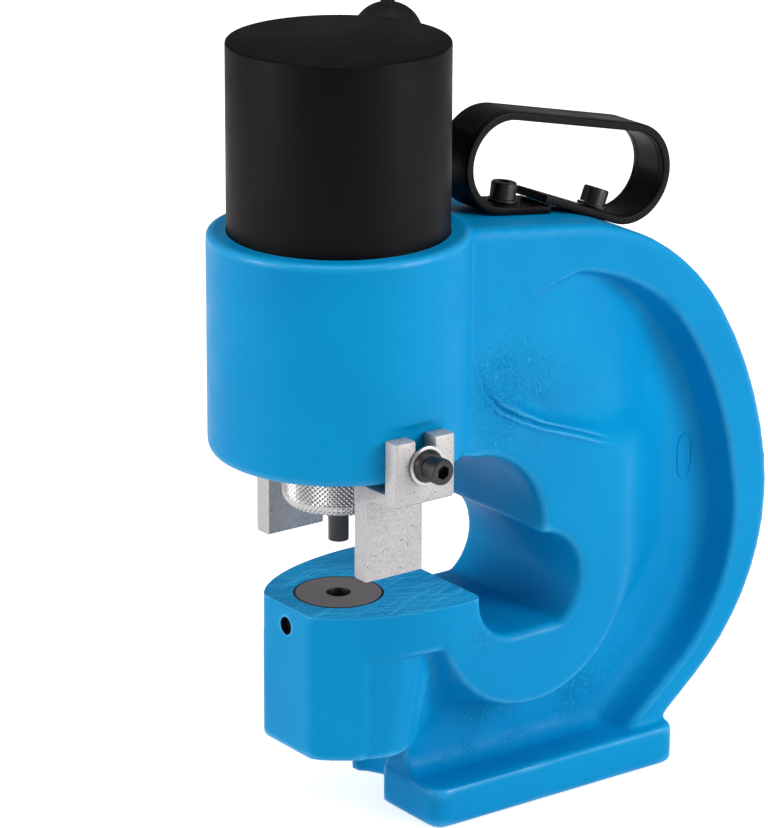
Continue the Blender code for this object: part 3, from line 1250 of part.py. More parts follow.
def make_dust_cap(parent):
    """Pull-off cap: domed crown, moulded ring, small nub and a skirt over the coupler's nose."""
    inner = COUPLER_NOSE_RADIUS + GAP
    ceiling = CAP_TOP - CAP_CROWN_THICKNESS
    shoulder = NOSE_TOP + GAP
    bottom = NOSE_BOTTOM + GAP
    centre_height = CAP_TOP - CAP_DOME_RADIUS
    ring_radius = CAP_RADIUS - CAP_DOME_RADIUS
    nub_top = CAP_TOP + CAP_NUB_HEIGHT
    profile = [(0, nub_top), (CAP_NUB_RADIUS, nub_top), (CAP_NUB_RADIUS, CAP_TOP)]
    profile += arc((ring_radius, centre_height), CAP_DOME_RADIUS, 90.0, 0.0, 6)
    profile += [(CAP_RADIUS, bottom), (inner, bottom), (inner, shoulder),
                (inner - (ceiling - shoulder), ceiling), (0, ceiling)]
    return finish(turned(profile, INLET_PLACE, steps=SMALL_STEPS), "dust_cap", RUBBER_BLACK, parent)


def main():
    axis = (PUNCH_X, 0, 0)
    ram = joint_empty("ram_axis", axis)
    inlet = joint_empty("inlet_axis", INLET_PLACE)
    make_frame_casting()
    make_cylinder_barrel()
    make_piston(ram)
    make_piston_ring("piston_seal", SEAL_GROOVE_RISE, NITRILE, ram)
    make_piston_ring("piston_wear_ring", WEAR_GROOVE_RISE, BRONZE, ram)
    make_piston_screw(ram)
    make_ram_rod(ram)
    make_bush()
    make_wiper()
    make_spring("return_spring", centre=(PUNCH_X, 0), bottom=BARREL_SEAT + GAP, top=PISTON_BOTTOM - GAP,
                mean=SPRING_MEAN_RADIUS, wire=SPRING_WIRE_RADIUS, turns=SPRING_TURNS, end_gap=SPRING_END_GAP)
    make_coupling_nut(ram)
    make_punch(ram)
    make_die()
    make_die_set_screw()
    for name, side in (("near", -1), ("far", 1)):
        clamp_axis = joint_empty("stripper_axis_" + name, (PUNCH_X, side * STRIPPER_FACE, CLAMP_HEIGHT))
        make_stripper("stripper_" + name, side, clamp_axis)
        make_clamp(name, side)
    make_handle_strap()
    for name, place, up in handle_screws():
        make_handle_fixing(name, place, up)
    make_inlet_elbow()
    make_coupler_body()
    make_coupler_poppet(inlet)
    make_spring("coupler_spring", centre=INLET_PLACE, bottom=COUPLER_BOTTOM + COUPLER_FLOOR + GAP,
                top=poppet_base() - GAP, mean=POPPET_SPRING_RADIUS, wire=POPPET_SPRING_WIRE,
                turns=POPPET_SPRING_TURNS, end_gap=POPPET_SPRING_WIRE)
    make_dust_cap(inlet)


main()
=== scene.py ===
import json
import math

import bmesh
import bpy
from mathutils import Matrix, Vector

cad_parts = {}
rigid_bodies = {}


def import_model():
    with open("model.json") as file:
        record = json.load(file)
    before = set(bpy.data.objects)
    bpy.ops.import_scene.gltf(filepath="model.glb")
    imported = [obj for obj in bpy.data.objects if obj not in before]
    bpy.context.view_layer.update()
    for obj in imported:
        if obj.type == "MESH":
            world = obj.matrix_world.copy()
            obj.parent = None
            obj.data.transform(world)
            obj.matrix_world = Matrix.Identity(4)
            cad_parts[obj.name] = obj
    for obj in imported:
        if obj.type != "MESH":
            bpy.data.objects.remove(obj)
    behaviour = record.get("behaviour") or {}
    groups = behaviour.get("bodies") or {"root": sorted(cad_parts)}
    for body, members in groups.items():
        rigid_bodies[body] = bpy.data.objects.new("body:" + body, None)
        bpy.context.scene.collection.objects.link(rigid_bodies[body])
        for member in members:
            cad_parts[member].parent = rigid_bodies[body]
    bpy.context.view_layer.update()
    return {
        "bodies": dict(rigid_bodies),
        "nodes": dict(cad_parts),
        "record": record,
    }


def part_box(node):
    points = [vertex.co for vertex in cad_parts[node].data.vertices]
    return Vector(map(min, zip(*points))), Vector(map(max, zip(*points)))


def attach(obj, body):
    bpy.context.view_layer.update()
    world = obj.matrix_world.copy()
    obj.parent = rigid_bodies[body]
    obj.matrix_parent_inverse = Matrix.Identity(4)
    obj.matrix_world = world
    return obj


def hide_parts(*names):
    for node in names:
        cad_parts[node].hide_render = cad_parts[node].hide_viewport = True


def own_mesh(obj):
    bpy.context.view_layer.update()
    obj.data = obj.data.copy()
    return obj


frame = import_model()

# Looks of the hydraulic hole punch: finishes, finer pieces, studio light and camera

nodes = frame["nodes"]
MM = 0.001
body_names = {empty.name: name for name, empty in frame["bodies"].items()}
slot_of = {part["node"]: part["material_slot"] for part in frame["record"]["subparts"]}

# Heights and axes that the pieces share with the solids, in metres
PUNCH_X = sum(corner.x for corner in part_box("die")) / 2
HOUSING_BOTTOM = 0.1918
HOUSING_TOP = 0.2997
ANVIL_TOP = 0.1179
BARREL_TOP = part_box("cylinder_barrel")[1].z
BARREL_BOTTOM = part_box("cylinder_barrel")[0].z
NUT_BOTTOM, NUT_TOP = (corner.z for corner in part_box("coupling_nut"))
RAM_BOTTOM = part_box("ram_rod")[0].z
CLAMP_HEIGHT = sum(corner.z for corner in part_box("stripper_washer_near")) / 2
SET_SCREW_HEIGHT = 107.4 * MM
BORE_FLOOR = 214.3 * MM
CLEARANCE = 0.3 * MM
STRAP_THICKNESS = 4.1 * MM

# Size of a socket screw's head, and of the hole that a screw goes through
HEAD_RADIUS = 6.35 * MM
HEAD_HEIGHT = 8 * MM
SCREW_HOLE = 4.3 * MM

# Blender's wave texture repeats after this length at a scale of 1
WAVE_LENGTH = 0.314


# Colours and shader nodes

def linear(code):
    """An sRGB hex colour as the linear colour that a shader reads."""
    values = [int(code[i:i + 2], 16) / 255 for i in (1, 3, 5)]
    return (*[v / 12.92 if v <= 0.04045 else ((v + 0.055) / 1.055) ** 2.4 for v in values], 1.0)


def add(tree, kind, inputs=(), **settings):
    """Add one node with its settings, and set or link its inputs."""
    node = tree.nodes.new(kind)
    for name, value in settings.items():
        setattr(node, name, value)
    for name, value in dict(inputs).items():
        if isinstance(value, bpy.types.NodeSocket):
            tree.links.new(value, node.inputs[name])
        else:
            node.inputs[name].default_value = value
    return node


def new_finish(name, colour, roughness, metallic=0.0, **sockets):
    """A finish with its plain values, its shader and the piece's own coordinates."""
    made = bpy.data.materials.new(name)
    made.use_nodes = True
    tree = made.node_tree
    shader = tree.nodes["Principled BSDF"]
    shader.inputs["Base Color"].default_value = linear(colour)
    shader.inputs["Roughness"].default_value = roughness
    shader.inputs["Metallic"].default_value = metallic
    for socket, value in sockets.items():
        shader.inputs[socket.replace("_", " ")].default_value = value
    place = add(tree, "ShaderNodeTexCoord").outputs["Object"]
    return made, tree, shader, place


# Finishes

def blue_enamel_on_casting():
    """Gloss enamel sprayed on a sand-cast frame. The sand's grain shows where the mould was coarse, with
    painted highlights on its specks, the rest is smooth, and the anvil's milled top keeps its cutter marks
    and is painted lighter, a painted highlight; rounded edges get one too."""
    made, tree, shader, place = new_finish("blue_enamel_on_sand_casting", "#008DC8", 0.42,
                                           Specular_IOR_Level=0.08)
    side_view = add(tree, "ShaderNodeMapping", {"Vector": place, "Scale": (1.0, 0.0, 1.0)}).outputs["Vector"]
    coarse = 0.0
    # Middle and reach of each coarse patch, seen from the side
    patches = (((-0.014, 0.0, 0.214), 0.036), ((-0.038, 0.0, 0.108), 0.020), ((0.048, 0.0, 0.052), 0.034),
               ((-0.010, 0.0, 0.030), 0.034))
    for middle, reach in patches:
        away = add(tree, "ShaderNodeVectorMath", {0: side_view, 1: middle}, operation="DISTANCE")
        near = add(tree, "ShaderNodeMapRange", {"Value": away.outputs["Value"], "From Min": reach * 0.45,
                                                "From Max": reach, "To Min": 1.0, "To Max": 0.0})
        coarse = add(tree, "ShaderNodeMath", {0: near.outputs["Result"], 1: coarse},
                     operation="MAXIMUM").outputs[0]
    drift = add(tree, "ShaderNodeTexNoise", {"Vector": place, "Scale": 1 / (24 * MM), "Detail": 1.0})
    patchy = add(tree, "ShaderNodeMapRange", {"Value": drift.outputs["Fac"], "From Min": 0.36,
                                              "From Max": 0.60, "To Min": 0.15}).outputs["Result"]
    coarse = add(tree, "ShaderNodeMath", {0: coarse, 1: patchy}, operation="MULTIPLY").outputs[0]
    axes = add(tree, "ShaderNodeSeparateXYZ", {"Vector": place})
    # The foot's own sides are smooth
    above_foot = add(tree, "ShaderNodeMapRange", {"Value": axes.outputs["Z"], "From Min": 20 * MM,
                                                  "From Max": 24 * MM}).outputs["Result"]
    coarse = add(tree, "ShaderNodeMath", {0: coarse, 1: above_foot}, operation="MULTIPLY").outputs[0]
    coarse = add(tree, "ShaderNodeMath", {0: coarse, 1: 0.06}, operation="ADD").outputs[0]
    grain = add(tree, "ShaderNodeTexNoise", {"Vector": place, "Scale": 1 / (1.2 * MM), "Detail": 3.0,
                                             "Roughness": 0.6}).outputs["Fac"]
    sand = add(tree, "ShaderNodeMath", {0: grain, 1: coarse}, operation="MULTIPLY").outputs[0]
    swell = add(tree, "ShaderNodeTexNoise", {"Vector": place, "Scale": 1 / (16 * MM), "Detail": 1.0})
    cast = add(tree, "ShaderNodeMath", {0: swell.outputs["Fac"], 1: 0.2, 2: sand}, operation="MULTIPLY_ADD")
    level = add(tree, "ShaderNodeMath", {0: axes.outputs["Z"], 1: ANVIL_TOP, 2: 0.15 * MM},
                operation="COMPARE").outputs[0]
    on_anvil = add(tree, "ShaderNodeMath", {0: axes.outputs["X"], 1: PUNCH_X + 58 * MM},
                   operation="LESS_THAN").outputs[0]
    milled = add(tree, "ShaderNodeMath", {0: level, 1: on_anvil}, operation="MULTIPLY")
    scratches = 0.0
    for turn in (0.42, -0.35):
        along = add(tree, "ShaderNodeMapping", {"Vector": place, "Rotation": (0, 0, turn)})
        long = add(tree, "ShaderNodeMapping", {"Vector": along.outputs["Vector"], "Scale": (0.05, 1.0, 1.0)})
        mark = add(tree, "ShaderNodeTexNoise", {"Vector": long.outputs["Vector"], "Scale": 1 / (1.3 * MM),
                                                "Detail": 3.0, "Roughness": 0.6}).outputs["Fac"]
        scratches = add(tree, "ShaderNodeMath", {0: mark, 1: scratches}, operation="MAXIMUM").outputs[0]
    relief = add(tree, "ShaderNodeMix", {"Factor": milled.outputs[0], "A": cast.outputs[0], "B": scratches})
    bump = add(tree, "ShaderNodeBump", {"Height": relief.outputs["Result"], "Distance": 1.6 * MM,
                                        "Strength": 0.9})
    tree.links.new(bump.outputs["Normal"], shader.inputs["Normal"])
    tone = add(tree, "ShaderNodeTexNoise", {"Vector": place, "Scale": 1 / (70 * MM), "Detail": 1.0})
    deep = add(tree, "ShaderNodeMapRange", {"Value": tone.outputs["Fac"], "From Min": 0.35, "From Max": 0.65})
    colour = add(tree, "ShaderNodeMix", {0: deep.outputs["Result"], 6: linear("#0089C4"),
                                         7: linear("#0092CC")}, data_type="RGBA").outputs[2]
    # The milled top of the anvil: its cutter marks as light and dark streaks, and the whole top painted
    # lighter than the rest of the casting, a painted highlight that stands in for light from above
    bright = add(tree, "ShaderNodeMapRange", {"Value": scratches, "From Min": 0.50, "From Max": 0.68})
    cutter_marks_painted_lighter = add(tree, "ShaderNodeMix", {0: bright.outputs["Result"], 6: linear("#0A9CD8"),
                                        7: linear("#40C2F4")}, data_type="RGBA").outputs[2]
    colour = add(tree, "ShaderNodeMix", {0: milled.outputs[0], 6: colour, 7: cutter_marks_painted_lighter},
                 data_type="RGBA").outputs[2]
    # Painted highlights: the tips of the sand grain in the coarse patches are painted lighter, as specks that
    # catch the light
    painted_glint_mask = add(tree, "ShaderNodeMapRange", {"Value": grain, "From Min": 0.54,
                                            "From Max": 0.72}).outputs["Result"]
    painted_glints = add(tree, "ShaderNodeMath", {0: painted_glint_mask, 1: coarse}, operation="MULTIPLY").outputs[0]
    colour = add(tree, "ShaderNodeMix", {0: painted_glints, 6: colour, 7: linear("#30B4EA")},
                 data_type="RGBA").outputs[2]
    # Rounded edges stand out and are worn by hands and cloths: they get more specular and less roughness, and
    # their colour is painted lighter, a painted highlight where they catch the light
    rise = add(tree, "ShaderNodeAttribute", attribute_name="standing_out").outputs["Fac"]
    worn_and_painted_lit_edges = add(tree, "ShaderNodeMapRange", {"Value": rise, "From Min": 0.035,
                                              "From Max": 0.13}).outputs["Result"]
    worn_and_painted_lit_edges = add(tree, "ShaderNodeMath", {0: worn_and_painted_lit_edges, 1: milled.outputs[0]}, operation="SUBTRACT",
                 use_clamp=True).outputs[0]
    painted_edge_highlight = add(tree, "ShaderNodeMath", {0: worn_and_painted_lit_edges, 1: 0.7}, operation="MULTIPLY").outputs[0]
    colour = add(tree, "ShaderNodeMix", {0: painted_edge_highlight, 6: colour, 7: linear("#22ABE6")},
                 data_type="RGBA").outputs[2]
    tree.links.new(colour, shader.inputs["Base Color"])
    shine = add(tree, "ShaderNodeMapRange", {"Value": worn_and_painted_lit_edges, "To Min": 0.08, "To Max": 0.5})
    tree.links.new(shine.outputs["Result"], shader.inputs["Specular IOR Level"])
    gloss = add(tree, "ShaderNodeMapRange", {"Value": swell.outputs["Fac"], "From Min": 0.3, "From Max": 0.7,
                                             "To Min": 0.36, "To Max": 0.46}).outputs["Result"]
    smooth = add(tree, "ShaderNodeMapRange", {"Value": worn_and_painted_lit_edges, "To Min": 1.0,
                                              "To Max": 0.7}).outputs["Result"]
    rough = add(tree, "ShaderNodeMath", {0: gloss, 1: smooth}, operation="MULTIPLY")
    tree.links.new(rough.outputs[0], shader.inputs["Roughness"])
    return made


def black_enamel(name, colour, roughness, shine, peel, depth):
    """Black enamel baked on turned or bent steel: even, with a fine orange peel and a light haze."""
    made, tree, shader, place = new_finish(name, colour, roughness, Specular_IOR_Level=shine)
    skin = add(tree, "ShaderNodeTexNoise", {"Vector": place, "Scale": 1 / peel, "Detail": 2.0})
    bump = add(tree, "ShaderNodeBump", {"Height": skin.outputs["Fac"], "Distance": depth, "Strength": 0.5})
    tree.links.new(bump.outputs["Normal"], shader.inputs["Normal"])
    haze = add(tree, "ShaderNodeTexNoise", {"Vector": place, "Scale": 1 / (30 * MM), "Detail": 2.0})
    gloss = add(tree, "ShaderNodeMapRange", {"Value": haze.outputs["Fac"], "From Min": 0.3, "From Max": 0.7,
                                             "To Min": roughness - 0.05, "To Max": roughness + 0.07})
    tree.links.new(gloss.outputs["Result"], shader.inputs["Roughness"])
    return made


def black_oxide():
    """Heat-treated screw steel with a black oxide: dark, slightly oily, a little paler in patches."""
    made, tree, shader, place = new_finish("black_oxide_on_screw_steel", "#1F1D1E", 0.36, 0.3)
    fine = add(tree, "ShaderNodeTexNoise", {"Vector": place, "Scale": 1 / (0.5 * MM), "Detail": 3.0})
    bump = add(tree, "ShaderNodeBump", {"Height": fine.outputs["Fac"], "Distance": 0.03 * MM,
                                        "Strength": 0.6})
    tree.links.new(bump.outputs["Normal"], shader.inputs["Normal"])
    cloud = add(tree, "ShaderNodeTexNoise", {"Vector": place, "Scale": 1 / (6 * MM), "Detail": 2.0})
    pale = add(tree, "ShaderNodeMapRange", {"Value": cloud.outputs["Fac"], "From Min": 0.35,
                                            "From Max": 0.65})
    colour = add(tree, "ShaderNodeMix", {0: pale.outputs["Result"], 6: linear("#1C1A1B"),
                                         7: linear("#2B2829")}, data_type="RGBA").outputs[2]
    tree.links.new(colour, shader.inputs["Base Color"])
    return made


def blasted_light_casting():
    """Pressure-cast light metal, blasted: pale grey with a fine grain and small dark pores."""
    made, tree, shader, place = new_finish("blasted_light_metal_casting", "#BDB9BA", 0.5, 0.45)
    grain = add(tree, "ShaderNodeTexNoise", {"Vector": place, "Scale": 1 / (0.9 * MM), "Detail": 3.0,
                                             "Roughness": 0.65}).outputs["Fac"]
    spot = add(tree, "ShaderNodeTexVoronoi", {"Vector": place, "Scale": 1 / (1.7 * MM), "Randomness": 1.0})
    round_pore = add(tree, "ShaderNodeMapRange", {"Value": spot.outputs["Distance"], "From Min": 0.16,
                                                  "From Max": 0.24, "To Min": 1.0, "To Max": 0.0})
    where = add(tree, "ShaderNodeTexNoise", {"Vector": place, "Scale": 1 / (5 * MM), "Detail": 2.0})
    crowd = add(tree, "ShaderNodeMapRange", {"Value": where.outputs["Fac"], "From Min": 0.48,
                                             "From Max": 0.62}).outputs["Result"]
    pores = add(tree, "ShaderNodeMath", {0: round_pore.outputs["Result"], 1: crowd},
                operation="MULTIPLY").outputs[0]
    relief = add(tree, "ShaderNodeMath", {0: grain, 1: pores}, operation="SUBTRACT").outputs[0]
    bump = add(tree, "ShaderNodeBump", {"Height": relief, "Distance": 0.14 * MM, "Strength": 0.6})
    tree.links.new(bump.outputs["Normal"], shader.inputs["Normal"])
    light = add(tree, "ShaderNodeMapRange", {"Value": grain, "From Min": 0.35, "From Max": 0.7})
    colour = add(tree, "ShaderNodeMix", {0: light.outputs["Result"], 6: linear("#A8A5A6"),
                                         7: linear("#C4C1C1")}, data_type="RGBA").outputs[2]
    colour = add(tree, "ShaderNodeMix", {0: pores, 6: colour, 7: linear("#4C4849")},
                 data_type="RGBA").outputs[2]
    tree.links.new(colour, shader.inputs["Base Color"])
    return made


def turned_steel(name, colour, roughness, pitch):
    """Bright turned steel: fine rings left by the lathe round the part's axis."""
    made, tree, shader, place = new_finish(name, colour, roughness, 0.9)
    # Real feed marks are finer than a render shows, so the pitch is a little coarser
    rings = add(tree, "ShaderNodeTexWave", {"Vector": place, "Scale": WAVE_LENGTH / pitch, "Distortion": 0.6,
                                            "Detail": 2.0}, bands_direction="Z")
    bump = add(tree, "ShaderNodeBump", {"Height": rings.outputs["Fac"], "Distance": 0.02 * MM,
                                        "Strength": 0.4})
    tree.links.new(bump.outputs["Normal"], shader.inputs["Normal"])
    smear = add(tree, "ShaderNodeTexNoise", {"Vector": place, "Scale": 1 / (5 * MM), "Detail": 2.0})
    gloss = add(tree, "ShaderNodeMapRange", {"Value": smear.outputs["Fac"], "From Min": 0.3, "From Max": 0.7,
                                             "To Min": roughness - 0.06, "To Max": roughness + 0.08})
    tree.links.new(gloss.outputs["Result"], shader.inputs["Roughness"])
    return made


def ground_die_steel():
    """Hardened die steel: a ground brownish grey face with faint rings, blacked on edge and side."""
    made, tree, shader, place = new_finish("ground_die_steel", "#6B6463", 0.42, 0.15)
    centred = add(tree, "ShaderNodeMapping", {"Vector": place,
                                              "Location": (-PUNCH_X, 0, 0)}).outputs["Vector"]
    rings = add(tree, "ShaderNodeTexWave", {"Vector": centred, "Scale": WAVE_LENGTH / (0.9 * MM),
                                            "Distortion": 0.8, "Detail": 2.0},
                wave_type="RINGS", rings_direction="Z")
    bump = add(tree, "ShaderNodeBump", {"Height": rings.outputs["Fac"], "Distance": 0.03 * MM,
                                        "Strength": 0.5})
    tree.links.new(bump.outputs["Normal"], shader.inputs["Normal"])
    flat = add(tree, "ShaderNodeMapping", {"Vector": centred, "Scale": (1.0, 1.0, 0.0)}).outputs["Vector"]
    away = add(tree, "ShaderNodeVectorMath", {0: flat}, operation="LENGTH").outputs["Value"]
    inside = add(tree, "ShaderNodeMath", {0: away, 1: 20.7 * MM}, operation="LESS_THAN").outputs[0]
    outside = add(tree, "ShaderNodeMath", {0: away, 1: 6.1 * MM}, operation="GREATER_THAN").outputs[0]
    height = add(tree, "ShaderNodeSeparateXYZ", {"Vector": place}).outputs["Z"]
    top = add(tree, "ShaderNodeMath", {0: height, 1: ANVIL_TOP - 0.1 * MM},
              operation="GREATER_THAN").outputs[0]
    face = add(tree, "ShaderNodeMath", {0: inside, 1: outside}, operation="MULTIPLY").outputs[0]
    face = add(tree, "ShaderNodeMath", {0: face, 1: top}, operation="MULTIPLY").outputs[0]
    colour = add(tree, "ShaderNodeMix", {0: face, 6: linear("#1B191A"), 7: linear("#7C7473")},
                 data_type="RGBA").outputs[2]
    tree.links.new(colour, shader.inputs["Base Color"])
    return made


def tempered_spring_wire():
    """Oil-tempered spring wire: grey, drawn smooth, with a thin scale."""
    made, tree, shader, place = new_finish("oil_tempered_spring_wire", "#77777A", 0.35, 0.9)
    scale = add(tree, "ShaderNodeTexNoise", {"Vector": place, "Scale": 1 / (0.6 * MM), "Detail": 3.0})
    bump = add(tree, "ShaderNodeBump", {"Height": scale.outputs["Fac"], "Distance": 0.02 * MM,
                                        "Strength": 0.5})
    tree.links.new(bump.outputs["Normal"], shader.inputs["Normal"])
    cloud = add(tree, "ShaderNodeTexNoise", {"Vector": place, "Scale": 1 / (8 * MM), "Detail": 2.0})
    colour = add(tree, "ShaderNodeMix", {0: cloud.outputs["Fac"], 6: linear("#5E5F63"), 7: linear("#8A8A8C")},
                 data_type="RGBA").outputs[2]
    tree.links.new(colour, shader.inputs["Base Color"])
    return made


def bearing_bronze():
    """Cast bearing bronze, turned: warm, softly streaked."""
    made, tree, shader, place = new_finish("turned_bearing_bronze", "#B98F55", 0.34, 0.95)
    fine = add(tree, "ShaderNodeTexNoise", {"Vector": place, "Scale": 1 / (0.7 * MM), "Detail": 3.0})
    bump = add(tree, "ShaderNodeBump", {"Height": fine.outputs["Fac"], "Distance": 0.03 * MM,
                                        "Strength": 0.4})
    tree.links.new(bump.outputs["Normal"], shader.inputs["Normal"])
    cloud = add(tree, "ShaderNodeTexNoise", {"Vector": place, "Scale": 1 / (7 * MM), "Detail": 2.0})
    colour = add(tree, "ShaderNodeMix", {0: cloud.outputs["Fac"], 6: linear("#A87F48"), 7: linear("#C79D62")},
                 data_type="RGBA").outputs[2]
    tree.links.new(colour, shader.inputs["Base Color"])
    return made


def nitrile(name, colour):
    """Moulded nitrile rubber: matt black with a faint bloom."""
    made, tree, shader, place = new_finish(name, colour, 0.6, Specular_IOR_Level=0.2)
    skin = add(tree, "ShaderNodeTexNoise", {"Vector": place, "Scale": 1 / (0.8 * MM), "Detail": 2.0})
    bump = add(tree, "ShaderNodeBump", {"Height": skin.outputs["Fac"], "Distance": 0.04 * MM,
                                        "Strength": 0.4})
    tree.links.new(bump.outputs["Normal"], shader.inputs["Normal"])
    cloud = add(tree, "ShaderNodeTexNoise", {"Vector": place, "Scale": 1 / (12 * MM), "Detail": 2.0})
    bloom = add(tree, "ShaderNodeMapRange", {"Value": cloud.outputs["Fac"], "From Min": 0.4, "From Max": 0.7})
    mixed = add(tree, "ShaderNodeMix", {0: bloom.outputs["Result"], 6: linear(colour), 7: linear("#1C1B1C")},
                data_type="RGBA").outputs[2]
    tree.links.new(mixed, shader.inputs["Base Color"])
    return made


finishes = {
    "frame_paint": blue_enamel_on_casting(),
    "barrel_black": black_enamel("satin_black_enamel_on_turned_steel", "#080708", 0.50, 0.09, 0.7 * MM,
                                 0.03 * MM),
    "ground_steel": turned_steel("turned_piston_steel", "#B9B7B6", 0.34, 0.8 * MM),
    "bright_steel": turned_steel("bright_turned_steel", "#B4B1B0", 0.28, 0.6 * MM),
    "cast_steel": blasted_light_casting(),
    "die_steel": ground_die_steel(),
    "spring_steel": tempered_spring_wire(),
    "zinc": turned_steel("bright_zinc_plate", "#BBB9B8", 0.3, 0.7 * MM),
    "bronze": bearing_bronze(),
    "black_oxide": black_oxide(),
    "strap_black": black_enamel("gloss_black_enamel_on_bent_steel", "#080708", 0.34, 0.10, 1.4 * MM,
                                0.05 * MM),
    "seal_rubber": nitrile("nitrile_rubber", "#1F1F1F"),
    "cap_rubber": nitrile("moulded_cap_rubber", "#0C0B0C"),
}
for node, slot in slot_of.items():
    nodes[node].data.materials.clear()
    nodes[node].data.materials.append(finishes[slot])


# Ways of working the metal

def take(piece):
    """Make one piece the only one that the next operator acts on."""
    bpy.ops.object.select_all(action="DESELECT")
    piece.select_set(True)
    bpy.context.view_layer.objects.active = piece


def work(piece, kind, **settings):
    """Apply one modifier to a piece."""
    take(piece)
    step = piece.modifiers.new(kind.lower(), kind)
    for name, value in settings.items():
        setattr(step, name, value)
    bpy.ops.object.modifier_apply(modifier=step.name)


def drill(piece, *tools):
    """Take the tools' shapes out of a piece."""
    take(tools[0])
    for tool in tools[1:]:
        tool.select_set(True)
    if len(tools) > 1:
        bpy.ops.object.join()
    work(piece, "BOOLEAN", operation="DIFFERENCE", solver="EXACT", object=tools[0])
    bpy.data.objects.remove(tools[0], do_unlink=True)


def soften_edges(piece, width, segments=3):
    """Round every edge that is sharper than 40 degrees."""
    work(piece, "BEVEL", width=width, segments=segments, limit_method="ANGLE", angle_limit=math.radians(40))


def choose_faces(piece, test):
    """Open a piece for editing with the faces selected that pass the test."""
    take(piece)
    bpy.ops.object.mode_set(mode="EDIT")
    bpy.ops.mesh.select_mode(type="FACE")
    bpy.ops.mesh.select_all(action="DESELECT")
    for face in bmesh.from_edit_mesh(piece.data).faces:
        face.select_set(test(face))
    bmesh.update_edit_mesh(piece.data)


def choose_points(piece, test):
    """Open a piece for editing with the points selected whose place passes the test."""
    take(piece)
    bpy.ops.object.mode_set(mode="EDIT")
    bpy.ops.mesh.select_mode(type="VERT")
    bpy.ops.mesh.select_all(action="DESELECT")
    shape = bmesh.from_edit_mesh(piece.data)
    for vert in shape.verts:
        vert.select_set(test(vert.co))
    shape.select_flush_mode()
    bmesh.update_edit_mesh(piece.data)


def choose_edges(piece, test):
    """Open a piece for editing with the edges selected that pass the test."""
    take(piece)
    bpy.ops.object.mode_set(mode="EDIT")
    bpy.ops.mesh.select_mode(type="EDGE")
    bpy.ops.mesh.select_all(action="DESELECT")
    for edge in bmesh.from_edit_mesh(piece.data).edges:
        edge.select_set(test(edge))
    bmesh.update_edit_mesh(piece.data)


def close_editing():
    """Go back from a piece's mesh to whole pieces."""
    bpy.ops.object.mode_set(mode="OBJECT")


def turn(rings, sides=96):
    """Turn a piece about the upright axis: a circle, extruded and resized from ring to ring of
    (radius, height). It closes on its first ring if it ends there, and with flat ends otherwise."""
    bpy.ops.object.select_all(action="DESELECT")
    radius, height = rings[0]
    bpy.ops.mesh.primitive_circle_add(vertices=sides, radius=radius, location=(0, 0, height))
    piece = bpy.context.object
    bpy.ops.object.mode_set(mode="EDIT")
    bpy.ops.mesh.select_mode(type="VERT")
    bpy.ops.mesh.select_all(action="SELECT")
    for next_radius, next_height in rings[1:]:
        bpy.ops.mesh.extrude_region_move(TRANSFORM_OT_translate={"value": (0, 0, next_height - height)})
        grow = next_radius / radius
        bpy.ops.transform.resize(value=(grow, grow, 1), center_override=(0, 0, next_height))
        radius, height = next_radius, next_height
    bpy.ops.mesh.select_all(action="SELECT")
    if rings[0] == rings[-1]:
        bpy.ops.mesh.remove_doubles(threshold=0.01 * MM)
    else:
        bpy.ops.mesh.fill_holes(sides=0)
    bpy.ops.mesh.normals_make_consistent(inside=False)
    close_editing()
    stand(piece)
    return piece


def stand(piece, place=(0, 0, 0), way=(0, 0, 1)):
    """Stand a piece's upright axis along a direction, at its place, and fix that in its mesh."""
    tilt = Vector((0, 0, 1)).rotation_difference(Vector(way)).to_matrix().to_4x4()
    piece.matrix_world = Matrix.Translation(place) @ tilt @ piece.matrix_world
    take(piece)
    bpy.ops.object.transform_apply(location=True, rotation=True, scale=True)


def bar(start, end, radius, sides=64):
    """A plain bar, for a hole or a plug."""
    start, end = Vector(start), Vector(end)
    bpy.ops.object.select_all(action="DESELECT")
    bpy.ops.mesh.primitive_cylinder_add(vertices=sides, radius=radius, depth=(end - start).length,
                                        location=(start + end) / 2,
                                        rotation=(end - start).to_track_quat("Z", "Y").to_euler())
    return bpy.context.object


def block(low, high):
    """A plain block between two corners, for a milled flat."""
    low, high = Vector(low), Vector(high)
    bpy.ops.object.select_all(action="DESELECT")
    bpy.ops.mesh.primitive_cube_add(size=1, location=(low + high) / 2)
    bpy.context.object.scale = high - low
    return bpy.context.object


def merged_copy(node):
    """A copy of a node's loose triangles, merged to one skin with whole faces."""
    piece = bpy.data.objects.new(node + "_skin", nodes[node].data.copy())
    bpy.context.scene.collection.objects.link(piece)
    take(piece)
    bpy.ops.object.mode_set(mode="EDIT")
    bpy.ops.mesh.select_all(action="SELECT")
    bpy.ops.mesh.remove_doubles(threshold=0.002 * MM)
    bpy.ops.mesh.dissolve_limited(angle_limit=math.radians(0.5))
    close_editing()
    return piece


def hand_over(piece, name, node, smooth=32.0):
    """Name, shade and colour a finished piece that stands for a node, and let it ride there."""
    piece.name = name
    piece.data.name = name
    take(piece)
    bpy.ops.object.shade_smooth_by_angle(angle=math.radians(smooth))
    piece.data.materials.clear()
    piece.data.materials.append(finishes[slot_of[node]])
    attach(piece, body_names[nodes[node].parent.name])
    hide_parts(node)
    return piece


# The casting

